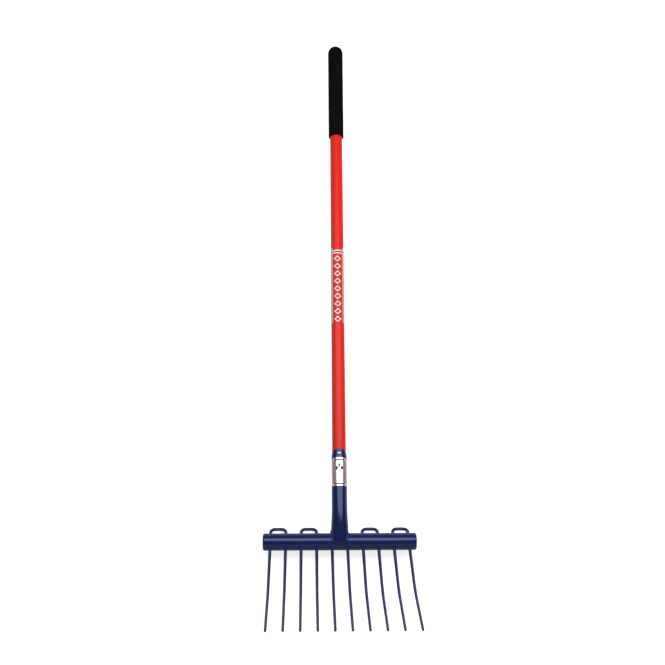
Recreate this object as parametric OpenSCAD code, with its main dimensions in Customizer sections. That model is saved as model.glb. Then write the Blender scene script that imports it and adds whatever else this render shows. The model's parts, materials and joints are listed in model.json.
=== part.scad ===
// Manure fork with ten tines and a long straight handle, lying on its back on a floor.
// Sizes are millimetres. X runs along the head bar, Y from the tines to the hand grip, Z up.
// Each piece is drawn in the fork's own frame, with the shaft along Y and the head bar at the height of the
// origin, a little behind the shaft line, and on_floor() then lays the whole fork down.

/* [Handle] */
// Length of the handle from its lower end to the top of its end plug
handle_len = 1200; // [900:5:1500]
// Length of the handle below the tip of the socket's tongue
handle_insert = 113; // [80:1:130]
// Diameter of the red jacket where it leaves the socket
shaft_low_d = 33; // [29:0.1:36]
// Diameter of the red jacket under the hand grip
shaft_top_d = 31.4; // [29:0.1:33]
// Diameter of the glass-fibre core
core_d = 24; // [20:0.5:26]
// Wall of the glass-fibre core
core_wall = 3; // [2:0.25:4]
// Length of core plug above the rivet
core_plug_past = 40; // [20:1:80]
// Length of the end plug inside the core
end_plug_len = 30; // [15:1:60]
// Thickness of the end plug's flange
end_plug_flange = 3; // [2:0.5:5]

/* [Hand grip] */
// Length of the grip from its rim to its round end
grip_len = 270; // [150:1:400]
// Outside diameter of the grip
grip_d = 39; // [38:0.5:44]
// Thinnest rubber over the edge of the handle's end
grip_corner_wall = 3; // [2:0.25:3.5]
// Rounding of the grip's rim
grip_rim_round = 1.2; // [0.5:0.1:1.8]

/* [Socket] */
// Length from the middle of the head bar to the tip of the tongue
socket_len = 218; // [180:1:260]
// Wall of the socket tube
socket_wall = 1.5; // [1:0.1:2.5]
// Height above the middle of the head bar where the flare starts
socket_flare_start = 75; // [50:1:90]
// Distance of the socket's closed lower end below the middle of the head bar
nose_drop = 6; // [4:0.5:8]
// Rounding of the socket's closed lower end
nose_round = 11; // [8:0.5:15]
// Distance of the rivet below the tip of the tongue
rivet_drop = 12.5; // [10:0.5:20]
// Diameter of the rivet's shank
rivet_d = 5; // [4:0.5:6]
// Diameter of the rivet's head
rivet_head_d = 10.5; // [8:0.5:11]
// Height of the rivet's domed head above the socket
rivet_head_h = 1.8; // [1:0.1:3]

/* [Head bar] */
// Length of the head bar over its end caps
bar_len = 362; // [347:1:420]
// Outside diameter of the head bar
bar_d = 40; // [38:0.5:42]
// Distance of the head bar's middle behind the shaft line
bar_drop = 12; // [9:0.5:14]
// Wall of the head bar
bar_wall = 2; // [1.5:0.1:3]
// Thickness of an end cap
cap_t = 6; // [5.5:0.5:8]
// Rounding of an end cap's edge
cap_round = 5; // [1:0.5:5]
// Length of an end cap's spigot inside the bar
cap_spigot = 6; // [3:0.5:12]

/* [Tines] */
// Distance from one tine to the next
tine_pitch = 36.3; // [33:0.1:37]
// Diameter of the rod where it passes through the bar
rod_d = 7.5; // [6:0.25:8]
// Diameter of a tine just before its point
tip_d = 6; // [4:0.1:6.5]
// Length of a tine's point
point_len = 9; // [4:0.5:20]
// Angle of the tines' roots to the shaft line, towards the front
tine_root_angle = 44; // [38:0.5:50]
// Angle of the bend in the middle of a tine
tine_bend_angle = 15; // [5:0.5:25]
// Radius of the bend in the middle of a tine
tine_bend_r = 305; // [150:5:500]
// Length from the middle of the head bar to the start of the bend
tine_root_len = 130; // [60:1:180]
// Length from the end of the bend to the tip
tine_end_len = 138; // [60:1:200]
// Distance from the middle of the head bar to the loop's cross rod
loop_depth = 46.5; // [42:0.5:60]
// Bend radius at the two corners of a loop
loop_bend_r = 11; // [9:0.5:16]

/* [Welds] */
// Height of the beads round the tines
tine_weld = 2.2; // [1:0.1:3]
// Height of the socket's bead up the socket
socket_weld_rise = 3.5; // [2:0.5:5]
// Width of the socket's bead along the bar
socket_weld_spread = 3.5; // [2:0.5:5]
// Height of the socket's bead over the middle of its legs
socket_weld_crown = 1.4; // [1:0.1:2]

/* [Label and decal] */
// Height of the sticker on the socket
label_h = 68; // [40:1:80]
// Angle that the sticker wraps round the socket
label_wrap = 160; // [90:5:200]
// Distance of the sticker's top below the tip of the tongue
label_drop = 22.5; // [20:0.5:40]
// Thickness of the sticker
label_t = 0.3; // [0.2:0.05:0.5]
// Length of the film on the shaft
decal_len = 200; // [100:5:300]
// Angle that the film wraps round the shaft
decal_wrap = 170; // [60:5:180]
// Distance of the film's lower end above the tip of the tongue
decal_rise = 315; // [100:5:450]
// Thickness of the film
decal_t = 0.25; // [0.2:0.05:0.4]

/* [Hidden] */
$fn = 72;
// Names of the pieces

// Colours
grip_black = [0.055, 0.055, 0.055];
jacket_red = [0.85, 0.17, 0.12];
head_blue = [0.10, 0.13, 0.32];
core_amber = [0.80, 0.72, 0.50];
plug_grey = [0.35, 0.35, 0.36];
rivet_silver = [0.78, 0.78, 0.80];
label_white = [0.92, 0.92, 0.94];
film_pale = [0.93, 0.86, 0.86];

// Clearances between pieces that fit together
core_fit = 0.1;
plug_fit = 0.1;
grip_fit = 0.1;
socket_fit = 0.1;
rivet_fit = 0.15;
cap_fit = 0.1;
rod_fit = 0.15;
film_fit = 0.15;
weld_root_gap = 0.15;
// Side allowance between the socket and the outline of its tongue
tongue_side = 0.2;
// How far a cut runs past what it cuts
overrun = 1;

// Counts
hairpin_count = 5;
rod_sides = 12;
bend_steps = 6;
corner_steps = 6;
weld_steps = 40;
back_weld_steps = 10;
weld_toe_steps = 4;
nose_steps = 12;
seam_halvings = 24;
bead_facets = 24;

// Handle and grip, measured along Y from the middle of the head bar
core_r = core_d / 2;
core_bore_r = core_r - core_wall;
shaft_low_r = shaft_low_d / 2;
shaft_top_r = shaft_top_d / 2;
handle_bottom = socket_len - handle_insert;
handle_top = handle_bottom + handle_len;
jacket_top = handle_top - end_plug_flange;
grip_r = grip_d / 2;
// The grip's round end is a half sphere, deep enough to cover the edge of the end plug
dome_inset = sqrt(max(0, pow(grip_r - grip_corner_wall, 2) - pow(shaft_top_r, 2)));
dome_y = handle_top - dome_inset;
grip_rim = dome_y + grip_r - grip_len;

// Socket
socket_bore_r = shaft_low_r + socket_fit;
socket_r = socket_bore_r + socket_wall;
bar_r = bar_d / 2;
foot_r = bar_r;
// Middle of the arc that rounds the socket's closed end
nose_r = foot_r - nose_round;
nose_y = nose_round - nose_drop;
// Radius at which the socket's bead lies on the bar, clear of it
seam_r = bar_r + weld_root_gap;
tongue_r = socket_r + tongue_side;
tongue_y = socket_len - tongue_r;
rivet_y = socket_len - rivet_drop;
rivet_r = rivet_d / 2;
rivet_head_r = rivet_head_d / 2;
label_top = socket_len - label_drop;
decal_bottom = socket_len + decal_rise;
decal_top = decal_bottom + decal_len;

// Tines and loops
rod_r = rod_d / 2;
tip_r = tip_d / 2;
tine_bend_len = tine_bend_r * tine_bend_angle * PI / 180;
tine_bend_end = tine_root_len + tine_bend_len;
tine_len = tine_bend_end + tine_end_len;
point_start = tine_len - point_len;
loop_corner_r = min(loop_bend_r, tine_pitch / 2);
back_dir = [0, cos(tine_root_angle), -sin(tine_root_angle)];
side_dir = [1, 0, 0];
loop_normal = cross(back_dir, side_dir);
// Shape of a tine's point: distance from the end as a share of its length, then radius as a share
point_shares = [[0, 0.30], [0.08, 0.55], [0.30, 0.78], [1, 1]];
first_tine_x = -(2 * hairpin_count - 1) / 2 * tine_pitch;
tine_xs = [for (k = [0 : 2 * hairpin_count - 1]) first_tine_x + k * tine_pitch];

// The socket's bead runs round the front and sides, and a short one closes the back
front_weld_half_angle = 110;
back_weld_half_angle = 26;
// Bead size near its ends, as shares of its full size
weld_end_shares = [0.35, 0.75];
// Half of the turn over which the seam's direction is taken
seam_nudge = 0.5;

// Radius of the jacket at a height along the shaft
function shaft_r(y) =
    y <= socket_len ? shaft_low_r :
    y >= grip_rim ? shaft_top_r :
    shaft_low_r + (shaft_top_r - shaft_low_r) * (y - socket_len) / (grip_rim - socket_len);

// Direction angle of a tine at a distance along it from the middle of the bar
function tine_angle(s) =
    tine_root_angle + tine_bend_angle * max(0, min(1, (s - tine_root_len) / tine_bend_len));

function tine_dir(a) = [0, -cos(a), sin(a)];
function bend_normal(a) = [0, sin(a), cos(a)];

// Place of a tine's centre line, as a straight root, a bend and a straight end
function tine_place(s) =
    s <= tine_root_len ? s * tine_dir(tine_root_angle) :
    s <= tine_bend_end ?
        tine_root_len * tine_dir(tine_root_angle)
        + tine_bend_r * (bend_normal(tine_root_angle) - bend_normal(tine_angle(s))) :
    tine_place(tine_bend_end) + (s - tine_bend_end) * tine_dir(tine_root_angle + tine_bend_angle);

// Radius of the rod: full through the bar, then an even taper to the point
function tine_radius(s) =
    s <= bar_r ? rod_r : rod_r + (tip_r - rod_r) * (s - bar_r) / (point_start - bar_r);

function ring(place, e1, e2, r) =
    [for (k = [0 : rod_sides - 1])
        let (t = 360 * k / rod_sides) place + r * (cos(t) * e1 + sin(t) * e2)];

// Distances along a tine of its rings, from the tip to the bar, each with its radius
tine_stations = concat(
    [for (p = point_shares) [tine_len - p[0] * point_len, p[1] * tip_r]],
    [for (k = [bend_steps : -1 : 0])
        let (s = tine_root_len + tine_bend_len * k / bend_steps) [s, tine_radius(s)]],
    [[bar_r, rod_r]]
);

// Rings of one leg, on the left from tip to bar and on the right from bar to tip
left_rings =
    [for (q = tine_stations)
        let (t = -tine_dir(tine_angle(q[0])))
        ring(tine_place(q[0]) - side_dir * tine_pitch / 2, side_dir, cross(t, side_dir), q[1])];
right_rings =
    [for (k = [len(tine_stations) - 1 : -1 : 0])
        let (q = tine_stations[k], t = tine_dir(tine_angle(q[0])))
        ring(tine_place(q[0]) + side_dir * tine_pitch / 2, -side_dir, cross(t, -side_dir), q[1])];

// Rings of the loop, round its left corner and then its right one
function loop_ring(x, b, tx, tb) =
    ring(x * side_dir + b * back_dir, cross(loop_normal, tx * side_dir + tb * back_dir), loop_normal, rod_r);
loop_corner_b = loop_depth - loop_corner_r;
loop_corner_x = tine_pitch / 2 - loop_corner_r;
loop_rings = concat(
    [for (k = [0 : corner_steps])
        let (a = 90 * k / corner_steps, x = loop_corner_x + loop_corner_r * cos(a))
        loop_ring(-x, loop_corner_b + loop_corner_r * sin(a), sin(a), cos(a))],
    [for (k = [0 : corner_steps])
        let (a = 90 * k / corner_steps, x = loop_corner_x + loop_corner_r * sin(a))
        loop_ring(x, loop_corner_b + loop_corner_r * cos(a), cos(a), -sin(a))]
);
hairpin_rings = concat(left_rings, loop_rings, right_rings);

// The fork lies on the cross rods of its loops and on the grip's round end: the tilt is that of the
// line that touches both from below
rest_y = loop_depth * back_dir.y;
rest_z = loop_depth * back_dir.z - bar_drop;
rest_span = norm([dome_y - rest_y, -rest_z]);
rest_tilt = asin((grip_r - rod_r) / rest_span) - atan2(-rest_z, dome_y - rest_y);
rest_h = rod_r - rest_y * sin(rest_tilt) - rest_z * cos(rest_tilt);
// The origin lies on the floor below the middle of the fork's length
grip_end_y = dome_y * cos(rest_tilt) + grip_r;
tine_end_y = min([for (r = hairpin_rings) for (p = r)
    p.y * cos(rest_tilt) - (p.z - bar_drop) * sin(rest_tilt)]);
middle_y = (grip_end_y + tine_end_y) / 2;

module on_floor() {
    translate([0, -middle_y, rest_h]) rotate([rest_tilt, 0, 0]) children();
}

// Lays down a shape that is drawn round the middle of the head bar
module on_head() {
    on_floor() translate([0, 0, -bar_drop]) children();
}

// Turns a shape made round Z so that it runs along the shaft, the bar or a tine's root
module along_shaft() { rotate([-90, 0, 0]) children(); }
module along_bar() { rotate([0, 90, 0]) children(); }
module along_tine() { rotate([90 - tine_root_angle, 0, 0]) children(); }

// Closed skin over a row of rings that go anticlockwise round the row's direction
module skin(rings) {
    n = len(rings[0]);
    last = len(rings) - 1;
    sides = [for (i = [0 : last - 1]) for (j = [0 : n - 1])
        let (a = i * n + j, b = i * n + (j + 1) % n)
        each [[a, a + n, b + n], [a, b + n, b]]];
    start = [for (j = [1 : n - 2]) [0, j, j + 1]];
    end = [for (j = [1 : n - 2]) [last * n, last * n + j + 1, last * n + j]];
    polyhedron(points = [for (r = rings) each r], faces = concat(sides, start, end));
}

// Tube round Z between two heights
module tube(r, bore, low, high) {
    difference() {
        translate([0, 0, low]) cylinder(h = high - low, r = r);
        translate([0, 0, low - overrun]) cylinder(h = high - low + 2 * overrun, r = bore);
    }
}

// Hole for the rivet through the shaft
module rivet_hole() {
    translate([0, rivet_y, 0])
        cylinder(h = 2 * socket_r + 2 * overrun, r = rivet_r + rivet_fit, center = true);
}

module hand_grip() {
    color(grip_black) on_floor() along_shaft() difference() {
        union() {
            translate([0, 0, dome_y]) sphere(r = grip_r);
            rotate_extrude() union() {
                translate([0, grip_rim + grip_rim_round])
                    square([grip_r, dome_y - grip_rim - grip_rim_round]);
                translate([0, grip_rim]) square([grip_r - grip_rim_round, grip_rim_round]);
                translate([grip_r - grip_rim_round, grip_rim + grip_rim_round]) circle(r = grip_rim_round);
            }
        }
        translate([0, 0, grip_rim - overrun])
            cylinder(h = handle_top + grip_fit - grip_rim + overrun, r = shaft_top_r + grip_fit);
    }
}

module end_plug() {
    color(plug_grey) on_floor() along_shaft() {
        translate([0, 0, jacket_top]) cylinder(h = end_plug_flange, r = shaft_top_r);
        translate([0, 0, jacket_top - end_plug_len]) cylinder(h = end_plug_len, r = core_bore_r - plug_fit);
    }
}

module handle_jacket() {
    color(jacket_red) on_floor() difference() {
        along_shaft() rotate_extrude() polygon([
            [core_r + core_fit, handle_bottom], [shaft_low_r, handle_bottom], [shaft_low_r, socket_len],
            [shaft_top_r, grip_rim], [shaft_top_r, jacket_top], [core_r + core_fit, jacket_top]
        ]);
        rivet_hole();
    }
}

module handle_core() {
    color(core_amber) on_floor() difference() {
        along_shaft() tube(core_r, core_bore_r, handle_bottom, jacket_top);
        rivet_hole();
    }
}

module core_plug() {
    color(plug_grey) on_floor() difference() {
        along_shaft() translate([0, 0, handle_bottom])
            cylinder(h = rivet_y + core_plug_past - handle_bottom, r = core_bore_r - plug_fit);
        rivet_hole();
    }
}

module shaft_decal() {
    low_r = shaft_r(decal_bottom) + film_fit;
    top_r = shaft_r(decal_top) + film_fit;
    color(film_pale) on_floor() along_shaft() rotate([0, 0, -90 - decal_wrap / 2])
        rotate_extrude(angle = decal_wrap) polygon([
            [low_r, decal_bottom], [low_r + decal_t, decal_bottom],
            [top_r + decal_t, decal_top], [top_r, decal_top]
        ]);
}

// Arc that rounds the socket's closed end, from the flat to the side
function nose_arc(r) =
    [for (k = [0 : nose_steps])
        let (a = 90 * k / nose_steps) [nose_r + r * sin(a), nose_y - r * cos(a)]];

module socket() {
    inside = nose_arc(nose_round - socket_wall);
    color(head_blue) on_floor() difference() {
        intersection() {
            along_shaft() rotate_extrude() polygon(concat(
                [[0, -nose_drop]],
                nose_arc(nose_round),
                [
                    [foot_r, bar_r], [socket_r, socket_flare_start],
                    [socket_r, socket_len + overrun], [socket_bore_r, socket_len + overrun],
                    [socket_bore_r, socket_flare_start], [foot_r - socket_wall, bar_r]
                ],
                [for (k = [nose_steps : -1 : 0]) inside[k]],
                [[0, socket_wall - nose_drop]]
            ));
            // Round tongue at the front and back
            linear_extrude(height = 2 * foot_r + 2 * overrun, center = true) {
                translate([-foot_r - overrun, -nose_drop - overrun])
                    square([2 * foot_r + 2 * overrun, tongue_y + nose_drop + overrun]);
                translate([0, tongue_y]) circle(r = tongue_r);
            }
        }
        // Saddle that lies over the front of the bar
        translate([0, 0, -bar_drop]) along_bar()
            cylinder(h = 2 * foot_r + 2 * overrun, r = seam_r, center = true);
        rivet_hole();
    }
}

// Domed rivet head that sits on the round socket
module rivet_head() {
    // Radius of the sphere whose cap has the head's radius and height
    dome_r = (pow(rivet_head_r, 2) + pow(rivet_head_h, 2)) / (2 * rivet_head_h);
    difference() {
        intersection() {
            translate([0, rivet_y, 0]) cylinder(h = socket_r + rivet_head_h + overrun, r = rivet_head_r);
            translate([0, rivet_y, socket_r + rivet_head_h - dome_r]) sphere(r = dome_r);
        }
        along_shaft() translate([0, 0, rivet_y - rivet_head_d])
            cylinder(h = 2 * rivet_head_d, r = socket_r);
    }
}

module socket_rivet() {
    color(rivet_silver) on_floor() {
        rivet_head();
        mirror([0, 0, 1]) rivet_head();
        translate([0, rivet_y, 0]) cylinder(h = 2 * socket_r + rivet_head_h, r = rivet_r, center = true);
    }
}

module socket_label() {
    inner_r = socket_r + film_fit;
    color(label_white) on_floor() along_shaft() rotate([0, 0, -90 - label_wrap / 2])
        rotate_extrude(angle = label_wrap)
            translate([inner_r, label_top - label_h]) square([label_t, label_h]);
}

// Outline of the socket's foot, with the gap that the bead keeps: down the side from the bar's top, round the
// nose and in along its flat end. Gives the radius, the height and the angle that the outline has turned by.
bead_round = nose_round + weld_root_gap;
bead_side = bar_r - nose_y;
bead_bend = bead_round * PI / 2;
function bead_outline(run) =
    let (a = max(0, min(90, (run - bead_side) / bead_round * 180 / PI)))
    [
        nose_r + bead_round * cos(a) - max(0, run - bead_side - bead_bend),
        nose_y - bead_round * sin(a) + max(0, bead_side - run),
        a
    ];

// Distance along that outline to the seam at an angle round the socket, zero at the front, found by halving
// between a place clear of the bar and one inside it
function seam_run(turn, clear = 0, sunk = bead_side + bead_bend + nose_r, left = seam_halvings) =
    let (
        run = (clear + sunk) / 2,
        p = bead_outline(run),
        inside = norm([p[1], p[0] * cos(turn) + bar_drop]) < seam_r
    )
    left == 0 ? run : inside ? seam_run(turn, clear, run, left - 1) : seam_run(turn, run, sunk, left - 1);

function seam_place(turn) =
    let (p = bead_outline(seam_run(turn))) [p[0] * sin(turn), p[1], p[0] * cos(turn)];

// Section of the socket's bead at an angle round the socket: out along the bar from the seam, then back over
// the crown and up the socket
function weld_section(turn, share) =
    let (
        seam = seam_place(turn),
        along = seam_place(turn + seam_nudge) - seam_place(turn - seam_nudge),
        forward = along / norm(along),
        bar_out = [0, seam.y, seam.z + bar_drop] / seam_r,
        a = bead_outline(seam_run(turn))[2],
        socket_out = [cos(a) * sin(turn), -sin(a), cos(a) * cos(turn)],
        on_bar = function (w)
            let (p = seam + w * cross(forward, bar_out), reach = norm([p.y, p.z + bar_drop]))
            [p.x, p.y * seam_r / reach, (p.z + bar_drop) * seam_r / reach - bar_drop],
        on_socket = function (h) seam + h * cross(socket_out, forward),
        spread = share * socket_weld_spread,
        rise = share * socket_weld_rise,
        // The bead stands out midway between the socket's normal and the bar's
        crown = share * socket_weld_crown * (bar_out + socket_out) / norm(bar_out + socket_out)
    )
    concat(
        [for (k = [0 : weld_toe_steps]) on_bar(spread * k / weld_toe_steps)],
        [on_bar(spread / 2) + crown, on_socket(rise / 2) + crown, on_socket(rise)]
    );

// Bead along an arc of the seam, smaller at both ends
module seam_bead(middle, half, steps) {
    skin([for (k = [0 : steps])
        let (
            from_end = min(k, steps - k),
            share = from_end < len(weld_end_shares) ? weld_end_shares[from_end] : 1
        )
        weld_section(middle - half + 2 * half * k / steps, share)]);
}

module socket_weld() {
    color(head_blue) on_floor() {
        seam_bead(0, front_weld_half_angle, weld_steps);
        seam_bead(180, back_weld_half_angle, back_weld_steps);
    }
}

module head_bar() {
    color(head_blue) on_head() difference() {
        along_bar() tube(bar_r, bar_r - bar_wall, -bar_len / 2 + cap_t, bar_len / 2 - cap_t);
        for (x = tine_xs) translate([x, 0, 0]) along_tine()
            cylinder(h = bar_d + 2 * overrun, r = rod_r + rod_fit, center = true);
    }
}

// Cap of the bar's right end, with a spigot inside the tube
module bar_end_cap() {
    along_bar() translate([0, 0, bar_len / 2 - cap_t]) rotate_extrude() union() {
        square([bar_r, cap_t - cap_round]);
        square([bar_r - cap_round, cap_t]);
        translate([bar_r - cap_round, cap_t - cap_round]) intersection() {
            circle(r = cap_round);
            square(cap_round);
        }
        translate([0, -cap_spigot]) square([bar_r - bar_wall - cap_fit, cap_spigot]);
    }
}

module bar_end_cap_left() { color(head_blue) on_head() mirror([1, 0, 0]) bar_end_cap(); }
module bar_end_cap_right() { color(head_blue) on_head() bar_end_cap(); }

// One bent rod: two tines and the loop that joins them behind the bar
module tine_hairpin(number) {
    x = (number - (hairpin_count + 1) / 2) * 2 * tine_pitch;
    color(head_blue) on_head() translate([x, 0, 0]) skin(hairpin_rings);
}

// Ring beads round the tines where they leave the front of the bar
module rod_beads() {
    for (x = tine_xs) translate([x, 0, 0]) difference() {
        along_tine() translate([0, 0, bar_r]) rotate_extrude($fn = bead_facets)
            translate([rod_r + rod_fit, 0]) circle(r = tine_weld, $fn = bead_facets);
        along_bar() cylinder(h = tine_pitch, r = bar_r, center = true);
        along_tine() cylinder(h = 2 * bar_d, r = rod_r + rod_fit, center = true);
    }
}

module tine_welds() { color(head_blue) on_head() rod_beads(); }
// The same beads, turned about the bar to its back, where the loops enter it
module loop_welds() { color(head_blue) on_head() rotate([180, 0, 0]) rod_beads(); }

hand_grip();
end_plug();
handle_jacket();
handle_core();
core_plug();
shaft_decal();
socket();
socket_rivet();
socket_label();
socket_weld();
head_bar();
bar_end_cap_left();
bar_end_cap_right();
tine_hairpin(1);  // tine_hairpin_1
tine_hairpin(2);  // tine_hairpin_2
tine_hairpin(3);  // tine_hairpin_3
tine_hairpin(4);  // tine_hairpin_4
tine_hairpin(5);  // tine_hairpin_5
tine_welds();
loop_welds();
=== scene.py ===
"""Looks of a long-handled manure fork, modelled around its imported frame.

Lengths are metres. Each piece is modelled in the fork's own frame, with the shaft along Y, the head bar along
X a little behind the origin, and the hollow side of the tines towards Z. It is then laid down on the floor,
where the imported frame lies.
"""

from __future__ import annotations

import json
import logging
import math
from collections.abc import Callable, Iterable, Sequence
from dataclasses import dataclass
from enum import Enum
from functools import cached_property
from typing import Any

import bmesh
import bpy
from mathutils import Matrix, Vector, noise

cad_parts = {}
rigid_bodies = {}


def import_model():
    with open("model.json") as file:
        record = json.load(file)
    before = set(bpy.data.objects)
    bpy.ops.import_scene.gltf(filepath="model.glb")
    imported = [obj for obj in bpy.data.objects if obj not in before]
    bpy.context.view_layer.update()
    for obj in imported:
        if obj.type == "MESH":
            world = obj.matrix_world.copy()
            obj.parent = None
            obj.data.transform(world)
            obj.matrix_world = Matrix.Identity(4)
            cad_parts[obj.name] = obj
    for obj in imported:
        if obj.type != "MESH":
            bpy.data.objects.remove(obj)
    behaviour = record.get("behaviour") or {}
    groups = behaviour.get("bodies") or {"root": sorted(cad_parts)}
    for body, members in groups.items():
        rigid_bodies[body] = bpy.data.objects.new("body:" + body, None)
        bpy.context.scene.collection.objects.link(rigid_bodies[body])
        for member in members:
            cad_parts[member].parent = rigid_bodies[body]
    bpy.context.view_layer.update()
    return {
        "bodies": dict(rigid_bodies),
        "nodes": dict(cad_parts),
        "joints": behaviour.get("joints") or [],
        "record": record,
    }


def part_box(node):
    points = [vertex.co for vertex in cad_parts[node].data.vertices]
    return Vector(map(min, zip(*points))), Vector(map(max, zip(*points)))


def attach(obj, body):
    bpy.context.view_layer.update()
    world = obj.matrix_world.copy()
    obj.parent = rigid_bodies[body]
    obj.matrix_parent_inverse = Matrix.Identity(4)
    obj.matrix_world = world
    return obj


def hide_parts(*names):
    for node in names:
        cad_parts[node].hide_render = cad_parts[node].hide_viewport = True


MM = 0.001
BODY = "root"
MERGE_DISTANCE = 0.001 * MM
CREASE_ANGLE = math.radians(35.0)
PRINT_UV = "print_places"

Colour = tuple[float, float, float]
Place = tuple[float, float, float]
Point = tuple[float, float]
Span = tuple[float, float]

WHITE: Colour = (1.0, 1.0, 1.0)
ORIGIN: Place = (0.0, 0.0, 0.0)
EVEN: Place = (1.0, 1.0, 1.0)
NOISE_MIDDLE = 0.5

# Socket types of a node group, and the colour sockets of a Mix node
VALUE = "NodeSocketFloat"
VECTOR = "NodeSocketVector"
COLOUR = "NodeSocketColor"
MIX_SHARE, MIX_FIRST, MIX_SECOND = 0, 6, 7
MIX_RESULT = 2

log = logging.getLogger("manure_fork")


class Slot(Enum):
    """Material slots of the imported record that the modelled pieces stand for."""

    GRIP = "grip_rubber"
    DECAL = "decal_film"
    LABEL = "label_film"
    HEAD = "head_paint"
    TINE = "tine_paint"


class Side(Enum):
    """Sides of the head bar that a rod comes out of."""

    FRONT = 1
    BACK = -1


@dataclass(frozen=True)
class ForkFrame:
    """The fork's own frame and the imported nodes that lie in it.

    Attributes:
        lay_down: Takes a place in the fork's own frame to the floor.
        bar_place: Middle of the head bar in the fork's own frame.
        nodes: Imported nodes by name.
    """

    lay_down: Matrix
    bar_place: Vector
    nodes: dict[str, bpy.types.Object]

    @classmethod
    def from_packed(cls, packed: dict[str, Any]) -> ForkFrame:
        """Finds the frame from the head bar's box and the grip's mount, which lies on the shaft line.


        Returns:
            The fork's own frame.
        """
        low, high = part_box("head_bar")
        bar = (low + high) / 2
        grip = next(mount for mount in packed["record"]["mounts"] if mount["name"] == "grip_end")
        grip_place = Vector(grip["pos_m"])
        along = Vector(grip["axis"]).normalized()
        across = Vector((1.0, 0.0, 0.0))
        turn = Matrix((across, along, across.cross(along))).transposed()
        origin = grip_place + along * (bar - grip_place).dot(along)
        lay_down = Matrix.Translation(origin) @ turn.to_4x4()
        return cls(lay_down, lay_down.inverted() @ bar, packed["nodes"])

    def extent(self, node: str) -> tuple[Vector, Vector]:
        """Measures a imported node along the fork's own axes.

        Args:
            node: Name of the node.

        Returns:
            Its lowest and highest corners.
        """
        stand_up = self.lay_down.inverted()
        places = [stand_up @ vertex.co for vertex in self.nodes[node].data.vertices]
        low = Vector(tuple(min(place[axis] for place in places) for axis in range(3)))
        high = Vector(tuple(max(place[axis] for place in places) for axis in range(3)))
        return low, high

    def dress(self, node: str, material: bpy.types.Material) -> None:
        """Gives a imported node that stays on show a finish."""
        self.nodes[node].material_slots[0].material = material
        log.info("%s keeps its packed shape", node)

    def add_piece(
        self, mesh: bmesh.types.BMesh, name: str, material: bpy.types.Material, slot: Slot, *nodes: str
    ) -> None:
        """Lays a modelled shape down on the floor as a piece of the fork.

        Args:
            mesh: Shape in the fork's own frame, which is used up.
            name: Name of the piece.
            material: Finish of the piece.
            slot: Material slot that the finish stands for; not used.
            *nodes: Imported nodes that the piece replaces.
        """
        bmesh.ops.transform(mesh, matrix=self.lay_down, verts=mesh.verts[:])
        for face in mesh.faces:
            face.smooth = True
        for edge in mesh.edges:
            edge.smooth = edge.calc_face_angle(0.0) < CREASE_ANGLE
        data = bpy.data.meshes.new(name)
        mesh.to_mesh(data)
        mesh.free()
        data.materials.append(material)
        piece = bpy.data.objects.new(name, data)
        bpy.context.scene.collection.objects.link(piece)
        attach(piece, BODY)
        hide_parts(*nodes)
        log.info("%s has %d faces", name, len(data.polygons))


# Mesh helpers


def clamp(share: float) -> float:
    """Keeps a share between zero and one."""
    return max(0.0, min(1.0, share))


def arc(centre: Point, radius: float, start: float, end: float, steps: int) -> list[Point]:
    """Works out the points of an arc in an outline.

    Args:
        centre: Middle of the arc, as distance from the axis and height.
        radius: Radius of the arc.
        start: Angle of the first point in degrees, with zero away from the axis.
        end: Angle of the last point in degrees.
        steps: Number of steps from the first point to the last.

    Returns:
        The points in order.
    """
    turns = [math.radians(start + (end - start) * step / steps) for step in range(steps + 1)]
    return [(centre[0] + radius * math.cos(turn), centre[1] + radius * math.sin(turn)) for turn in turns]


def spin_outline(outline: Sequence[Point], steps: int, ring: bool = False) -> bmesh.types.BMesh:
    """Turns an outline once round the shaft's axis.

    Args:
        outline: Distance from the axis and height of each point.
        steps: Number of steps in the turn.
        ring: True for a closed outline that is clear of the axis, and false for one with its ends on it.

    Returns:
        The closed shape.
    """
    mesh = bmesh.new()
    points = [mesh.verts.new((radius, height, 0.0)) for radius, height in outline]
    followers = points[1:] + points[:1] if ring else points[1:]
    edges = [mesh.edges.new(pair) for pair in zip(points, followers)]
    bmesh.ops.spin(
        mesh,
        geom=points + edges,
        cent=ORIGIN,
        axis=(0.0, 1.0, 0.0),
        angle=math.tau,
        steps=steps,
        use_merge=True,
    )
    bmesh.ops.remove_doubles(mesh, verts=mesh.verts[:], dist=MERGE_DISTANCE)
    bmesh.ops.recalc_face_normals(mesh, faces=mesh.faces[:])
    return mesh


def station(place: Vector, side: Vector, along: Vector, width: float, height: float) -> Matrix:
    """Places a round section on a path.

    Args:
        place: Middle of the section.
        side: Direction of the section's width.
        along: Direction of the path, square to side.
        width: Half of the section's width.
        height: Half of the section's height.

    Returns:
        The matrix that takes a unit circle to the section.
    """
    turned = Matrix((side * width, along.cross(side) * height, along)).transposed().to_4x4()
    return Matrix.Translation(place) @ turned


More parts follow.
